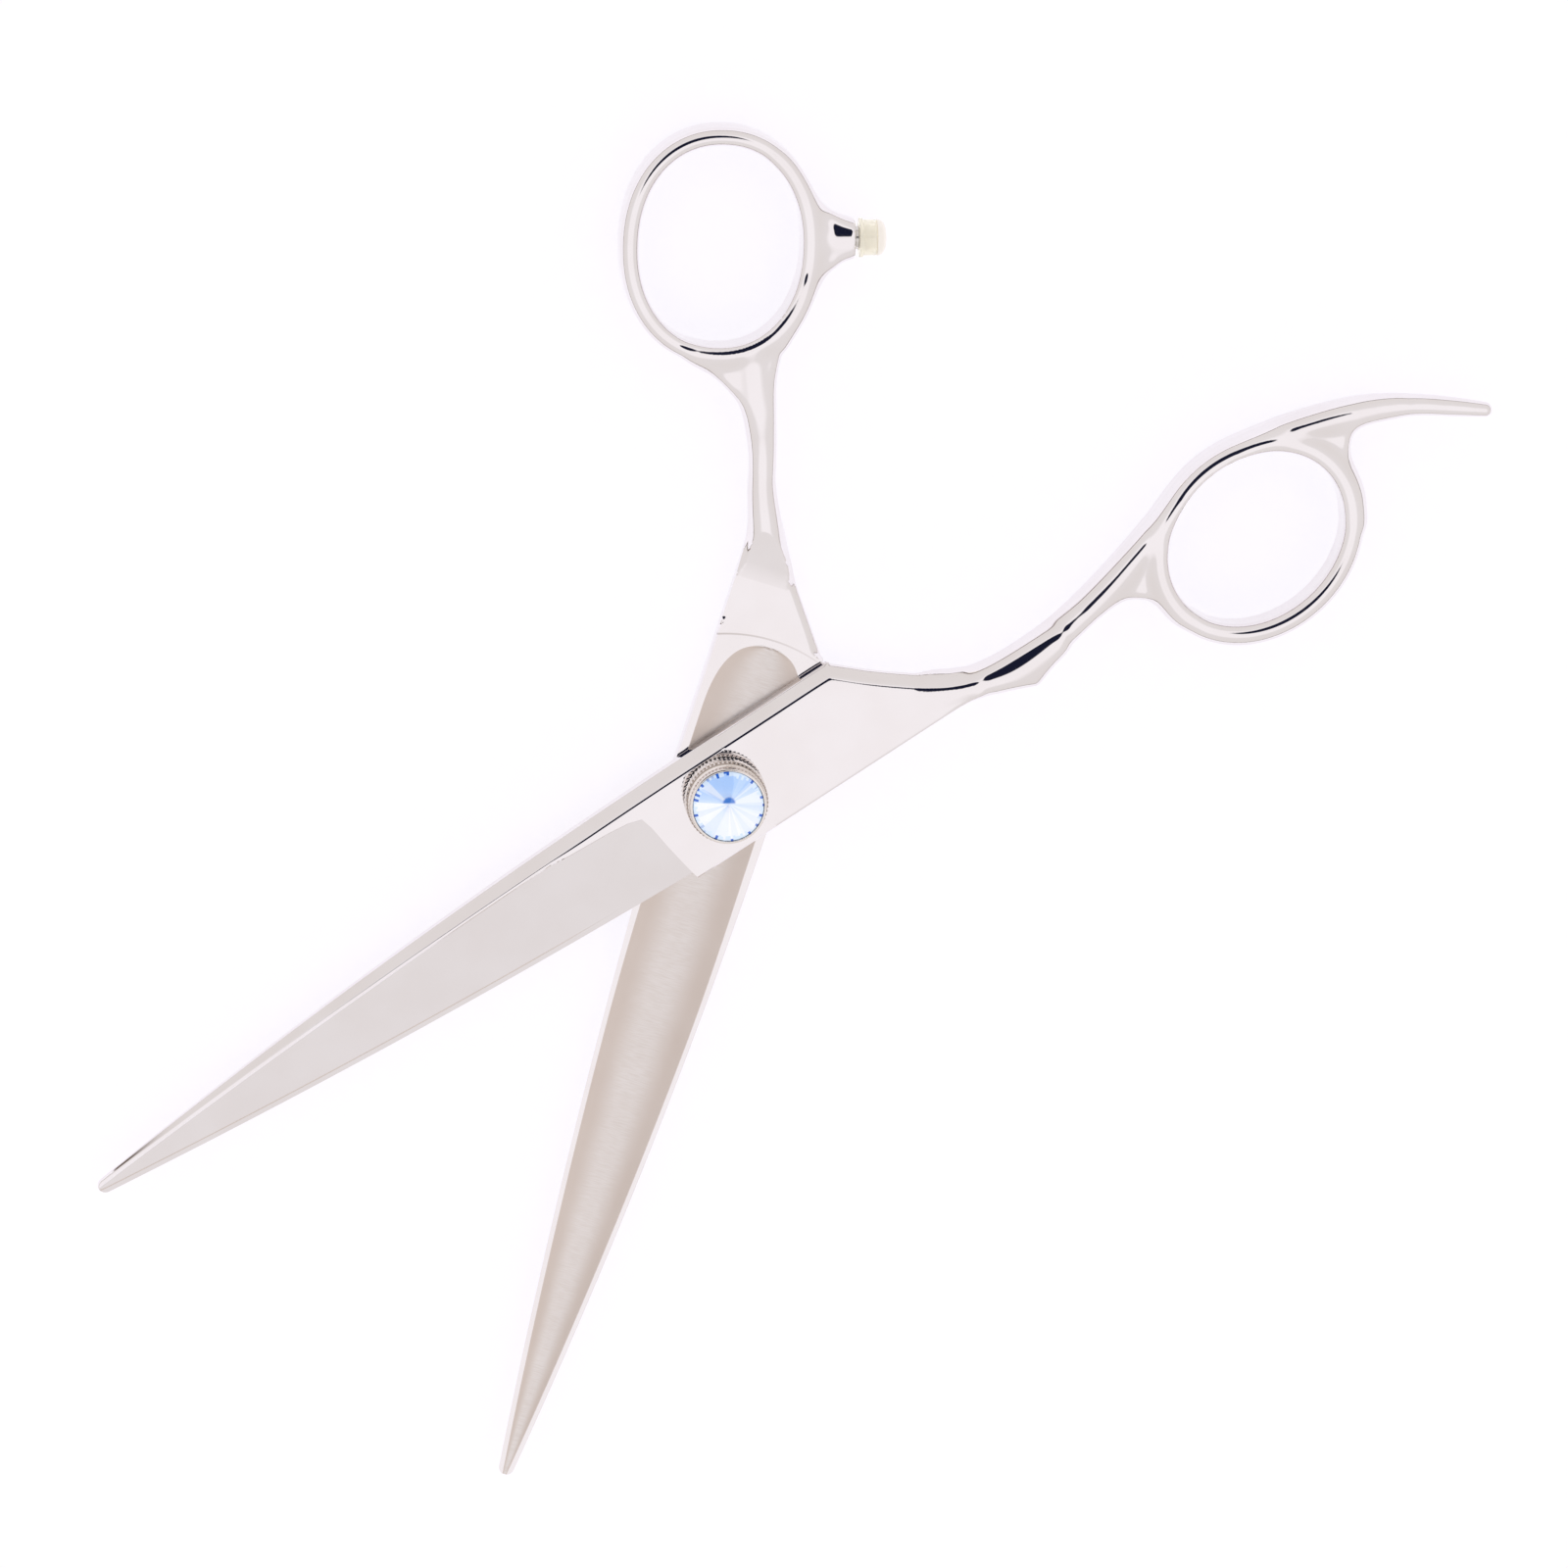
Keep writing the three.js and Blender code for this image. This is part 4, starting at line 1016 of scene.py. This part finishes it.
def stone_finish():
    f = Finish("crystal")
    x, y = f.place()[:2]
    radius = (x * x + y * y) ** 0.5
    deep_x, deep_y = x + 0.28, y + 0.42
    shade_side = deep_x * -0.558 - deep_y * 0.829
    # painted reflection: each wedge of facets gets its own blue, and one side is painted paler where the
    # light enters
    wide = f.colour(wedge(f, deep_x, deep_y, 16, 3.0).rise(0.1, 0.9), (0.45, 0.66, 1.0), (0.93, 0.97, 1.0))
    facets = f.colour(wedge(f, deep_x, deep_y, 32, 7.0).rise(0.55, 0.9) * 0.5, wide, (0.36, 0.58, 0.98))
    facets = f.colour(shade_side.rise(2.2, -2.2) * 0.68, facets, (0.97, 0.99, 1.0))
    # painted shade: a deep blue patch near the middle, on the shaded side
    dark_core_shade = (0.85 - (deep_x * deep_x + deep_y * deep_y) ** 0.5).rise(0.0, 0.3) * shade_side.rise(-0.1, 0.15)
    facets = f.colour(dark_core_shade, facets, (0.06, 0.20, 0.62))
    # painted glints: small dark and pale blue marks along the girdle
    rim_glints = f.colour(wedge(f, x, y, 80, 29.0).rise(0.55, 0.8), (0.72, 0.86, 1.0), (0.03, 0.14, 0.60))
    rim_glint_mask = (radius - wedge(f, x, y, 80, 51.0) * 0.55).rise(3.35, 3.4)
    colour = f.colour(rim_glint_mask, facets, rim_glints)
    # painted light: the stone glows a little in its own colours
    return f.done(Base_Color=colour, Roughness=0.02, IOR=1.55, Transmission_Weight=0.15, Coat_Weight=1.0,
                  Emission_Color=colour, Emission_Strength=0.22)


stone = add_object("crystal_stone", stone_mesh, FINGER_PLACE)
fit_out(stone, "dial", ["crystal"], stone_finish())

# %% [markdown]
# ## Foil behind the stone
# The back of such a stone is coated like a mirror. The coat is a thin open cup round the back
# facets, a hair larger than the stone.

# %% Foil behind the stone
foil_rings = [(r * 1.005, z - 0.02, count, turn) for r, z, count, turn in stone_rings[:3]]


def foil_skin(rings):
    work, hull = hull_of(rings)
    lids = [face for face in work.faces if face.normal.z > 0.9]
    bmesh.ops.delete(work, geom=lids, context="FACES")
    merge_flat(work)
    bmesh.ops.solidify(work, geom=list(work.faces), thickness=0.02 * MM)
    return faceted("foil", work)


def foil_finish():
    f = Finish("crystal_foil")
    x, y, _, place = f.place()
    cloud = f.noise(place, 0.9, 2.0)
    # painted reflection: each back facet of the foil gets its own blue, paler in soft random patches
    deep = f.colour(wedge(f, x, y, 16, 11.0), (0.32, 0.52, 0.95), (0.86, 0.94, 1.0))
    colour = f.colour(cloud * 0.5, deep, (0.93, 0.97, 1.0))
    return f.done(Base_Color=colour, Metallic=1.0, Roughness=0.03)


foil = add_object("crystal_foil", foil_skin(foil_rings), FINGER_PLACE)
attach(foil, "dial")
foil.data.materials.append(foil_finish())
print(foil.name, "rides on dial with", len(foil.data.polygons), "faces")

# %% [markdown]
# ## The bumper
# A steel stud in the boss of the thumb ring, with a clear soft sleeve round it and an ivory dome.

# %% Bumper
across = Matrix.Rotation(BOSS_TURN, 4, "Z") @ Matrix.Rotation(math.pi / 2, 4, "Y")
BUMPER_PLACE = THUMB_PLACE @ Matrix.Translation(Vector((*BOSS_FACE, BUMPER_LIFT)) * MM) @ across
SLEEVE_START, SLEEVE_LENGTH, TIP_LENGTH = 0.5, 1.95, 1.15
sleeve_end = SLEEVE_START + SLEEVE_LENGTH

stud_mesh = turned("stud", soft_profile([
    (0, -2.9, 0), (0.88, -2.9, 0.1), (0.88, 0.05, 0.02), (1.3, 0.05, 0.06), (1.3, 0.48, 0.06),
    (0.9, 0.5, 0.03), (0.9, 0.95, 0.03), (1.3, 0.97, 0.06), (1.3, 1.6, 0.06), (0.9, 1.65, 0.03),
    (0.9, 2.2, 0.06), (0, 2.2, 0)]), 48)
smooth_by_angle(stud_mesh, 40)
stud = add_object("bumper_pin", stud_mesh, BUMPER_PLACE)
SCREW_STEEL = plated("screw_steel", (0.62, 0.60, 0.57), (0.72, 0.70, 0.67), 0.16)
fit_out(stud, "thumb_body", ["bumper_stud"], SCREW_STEEL)

sleeve_mesh = turned("sleeve", soft_profile([
    (1.36, SLEEVE_START, 0.03), (2.22, SLEEVE_START, 0.1), (2.22, SLEEVE_START + 0.42, 0.06),
    (2.02, SLEEVE_START + 0.5, 0.05), (2.02, sleeve_end - 0.02, 0.08),
    (1.36, sleeve_end - 0.02, 0.03)]), 64)
smooth_by_angle(sleeve_mesh, 40)


def sleeve_finish():
    f = Finish("clear_sleeve")
    place = f.place()[-1]
    cloud = f.noise(place, 1.2, 2.0)
    colour = f.colour(cloud, (0.90, 0.87, 0.76), (0.97, 0.95, 0.88))
    # painted light: the sleeve glows a little
    return f.done(Base_Color=colour, Roughness=0.08 + cloud * 0.1, IOR=1.35, Transmission_Weight=0.5,
                  Emission_Color=(0.9, 0.87, 0.76), Emission_Strength=0.12)


sleeve = add_object("bumper_collar", sleeve_mesh, BUMPER_PLACE)
fit_out(sleeve, "thumb_body", ["bumper_sleeve"], sleeve_finish())

tip_profile = [(0.0, sleeve_end + 0.04), (1.85, sleeve_end + 0.04)]
for k in range(17):
    angle = math.pi / 2 * k / 16
    tip_z = sleeve_end + 0.1 + (TIP_LENGTH - 0.06) * math.sin(angle) ** 0.8
    tip_profile.append((2.04 * math.cos(angle) ** 0.9, tip_z))
tip_mesh = turned("tip", tip_profile, 64)
smooth_by_angle(tip_mesh, 50)


def ivory_finish():
    f = Finish("ivory_bumper")
    place = f.place()[-1]
    cloud = f.noise(place, 1.5, 3.0)
    fine = f.noise(place, 20.0, 2.0)
    colour = f.colour(cloud, (0.92, 0.88, 0.80), (0.97, 0.94, 0.88))
    # painted light: the dome glows a little
    return f.done(Base_Color=colour, Roughness=0.32 + fine * 0.1, Normal=f.bump(fine, 0.1),
                  Emission_Color=(1.0, 0.97, 0.9), Emission_Strength=0.12)


tip = add_object("bumper_dome", tip_mesh, BUMPER_PLACE)
fit_out(tip, "thumb_body", ["bumper_tip"], ivory_finish())

# %% [markdown]
# ## Finishes of the hidden pieces
# The screw, bushing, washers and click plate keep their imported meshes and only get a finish.

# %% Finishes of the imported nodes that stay
BRONZE = plated("bronze", (0.45, 0.29, 0.13), (0.62, 0.43, 0.22), 0.3)
SPRING_STEEL = plated("spring_steel", (0.35, 0.37, 0.40), (0.52, 0.54, 0.57), 0.2)


def slide_plastic():
    f = Finish("slide_plastic")
    place = f.place()[-1]
    cloud = f.noise(place, 1.0, 3.0)
    colour = f.colour(cloud, (0.80, 0.79, 0.75), (0.90, 0.89, 0.86))
    return f.done(Base_Color=colour, Roughness=0.4 + cloud * 0.15)


kept = {"pivot_screw": SCREW_STEEL, "rear_washer": BRONZE, "thrust_washer": slide_plastic(),
        "click_plate": SPRING_STEEL, "spring_washer": SPRING_STEEL, "pivot_bushing": BRONZE}
for node, finish in kept.items():
    node_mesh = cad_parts[node].data
    node_mesh.materials.clear()
    node_mesh.materials.append(finish)
print("finished", len(kept), "packed nodes")

# %% [markdown]
# ## The table
# A plain pale sheet of paper, which glows a little so that it stays white under the soft light.

# %% Table
def table():
    size = 1.6
    mesh = bpy.data.meshes.new("table")
    corners = [(-size, -size, 0), (size, -size, 0), (size, size, 0), (-size, size, 0)]
    mesh.from_pydata(corners, [], [(0, 1, 2, 3)])
    made = add_object("table", mesh, Matrix.Translation((0, 0, -0.0004)))
    f = Finish("table_paper")
    place = f.place()[-1]
    grain = f.noise(place, 0.5, 2.0)
    colour = f.colour(grain, (0.33, 0.32, 0.34), (0.36, 0.35, 0.37))
    mesh.materials.append(f.done(Base_Color=colour, Roughness=0.8, Emission_Color=(1.0, 0.985, 1.04),
                                 Emission_Strength=0.74))
    print("table", 2 * size, "m wide")


table()

# %% [markdown]
# ## The camera
# A long lens almost straight above the table, so that the shears are seen as on a product sheet.

# %% Camera
CAMERA_AT = Vector((-108.22, -166.852, 815.935))
CAMERA_RIGHT = Vector((-0.60873, 0.78833, 0.08934))
CAMERA_UP = Vector((-0.78370, -0.57994, -0.22245))
camera_data = bpy.data.cameras.new("camera")
camera_data.lens, camera_data.sensor_width = 168.75, 36
camera_data.clip_start, camera_data.clip_end = 0.01, 10
camera = bpy.data.objects.new("camera", camera_data)
bpy.context.scene.collection.objects.link(camera)
backwards = CAMERA_RIGHT.cross(CAMERA_UP).normalized()
axes = Matrix((CAMERA_RIGHT.normalized(), CAMERA_UP.normalized(), backwards)).transposed().to_4x4()
camera.matrix_world = Matrix.Translation(CAMERA_AT * MM) @ axes
bpy.context.scene.camera = camera
print("camera", round(CAMERA_AT.length), "mm from the pivot")

# %% [markdown]
# ## The surroundings
# Bright steel is lit by what surrounds it. The sky is white overhead and a warm grey haze lower
# down, and a thin dark line lies along the horizon: it draws the brown lines on steep flanks. A
# small dark patch hangs where the camera would be, and draws the black lines on rounded backs.

# %% Surroundings
world = bpy.data.worlds.new("studio")
bpy.context.scene.world = world
world.use_nodes = True
tree = world.node_tree
tree.nodes.clear()


def patch(direction, inner, outer):
    """A soft round patch of the surroundings, as a wire from 0 to 1."""
    coordinate = tree.nodes.new("ShaderNodeTexCoord")
    dot = tree.nodes.new("ShaderNodeVectorMath")
    dot.operation = "DOT_PRODUCT"
    dot.inputs[1].default_value = Vector(direction).normalized()
    tree.links.new(coordinate.outputs["Generated"], dot.inputs[0])
    step = tree.nodes.new("ShaderNodeMapRange")
    step.interpolation_type = "SMOOTHSTEP"
    step.inputs["From Min"].default_value = math.cos(math.radians(outer))
    step.inputs["From Max"].default_value = math.cos(math.radians(inner))
    tree.links.new(dot.outputs["Value"], step.inputs["Value"])
    return step.outputs["Result"]


def layer(below, above, mask):
    mix = tree.nodes.new("ShaderNodeMix")
    mix.data_type = "RGBA"
    tree.links.new(mask, mix.inputs[0])
    for index, value in ((6, below), (7, above)):
        if isinstance(value, tuple):
            mix.inputs[index].default_value = (*value, 1)
        else:
            tree.links.new(value, mix.inputs[index])
    return mix.outputs[2]


def height_ramp(stops):
    """Colours by height, from straight down (0) over the horizon (0.5) to straight up (1)."""
    coordinate = tree.nodes.new("ShaderNodeTexCoord")
    split = tree.nodes.new("ShaderNodeSeparateXYZ")
    tree.links.new(coordinate.outputs["Generated"], split.inputs[0])
    share = tree.nodes.new("ShaderNodeMapRange")
    share.inputs["From Min"].default_value = -1
    tree.links.new(split.outputs["Z"], share.inputs["Value"])
    ramp = tree.nodes.new("ShaderNodeValToRGB")
    elements = ramp.color_ramp.elements
    while len(elements) < len(stops):
        elements.new(0.5)
    for element, (position, colour) in zip(elements, stops):
        element.position, element.color = position, (*colour, 1)
    tree.links.new(share.outputs["Result"], ramp.inputs["Fac"])
    return ramp.outputs["Color"]


toward_camera = -Vector((0.12356, 0.20542, -0.97084))
WHITE, HAZE, HIGH_HAZE = (1.02, 0.985, 1.0), (0.83, 0.79, 0.775), (0.86, 0.825, 0.825)
GROUND, LINE, LENS = (0.98, 0.96, 1.0), (0.17, 0.13, 0.11), (0.01, 0.012, 0.03)
sky = height_ramp([(0.0, GROUND), (0.48, GROUND), (0.495, LINE), (0.52, LINE), (0.545, HAZE),
                   (0.89, HIGH_HAZE), (0.945, WHITE), (1.0, WHITE)])
sky = layer(sky, LENS, patch(toward_camera, 14, 16.5))
background = tree.nodes.new("ShaderNodeBackground")
tree.links.new(sky, background.inputs["Color"])
background.inputs["Strength"].default_value = 1.0
world_out = tree.nodes.new("ShaderNodeOutputWorld")
tree.links.new(background.outputs[0], world_out.inputs["Surface"])
bpy.context.scene.view_settings.view_transform = "Standard"
print("surroundings with", len(tree.nodes), "nodes")
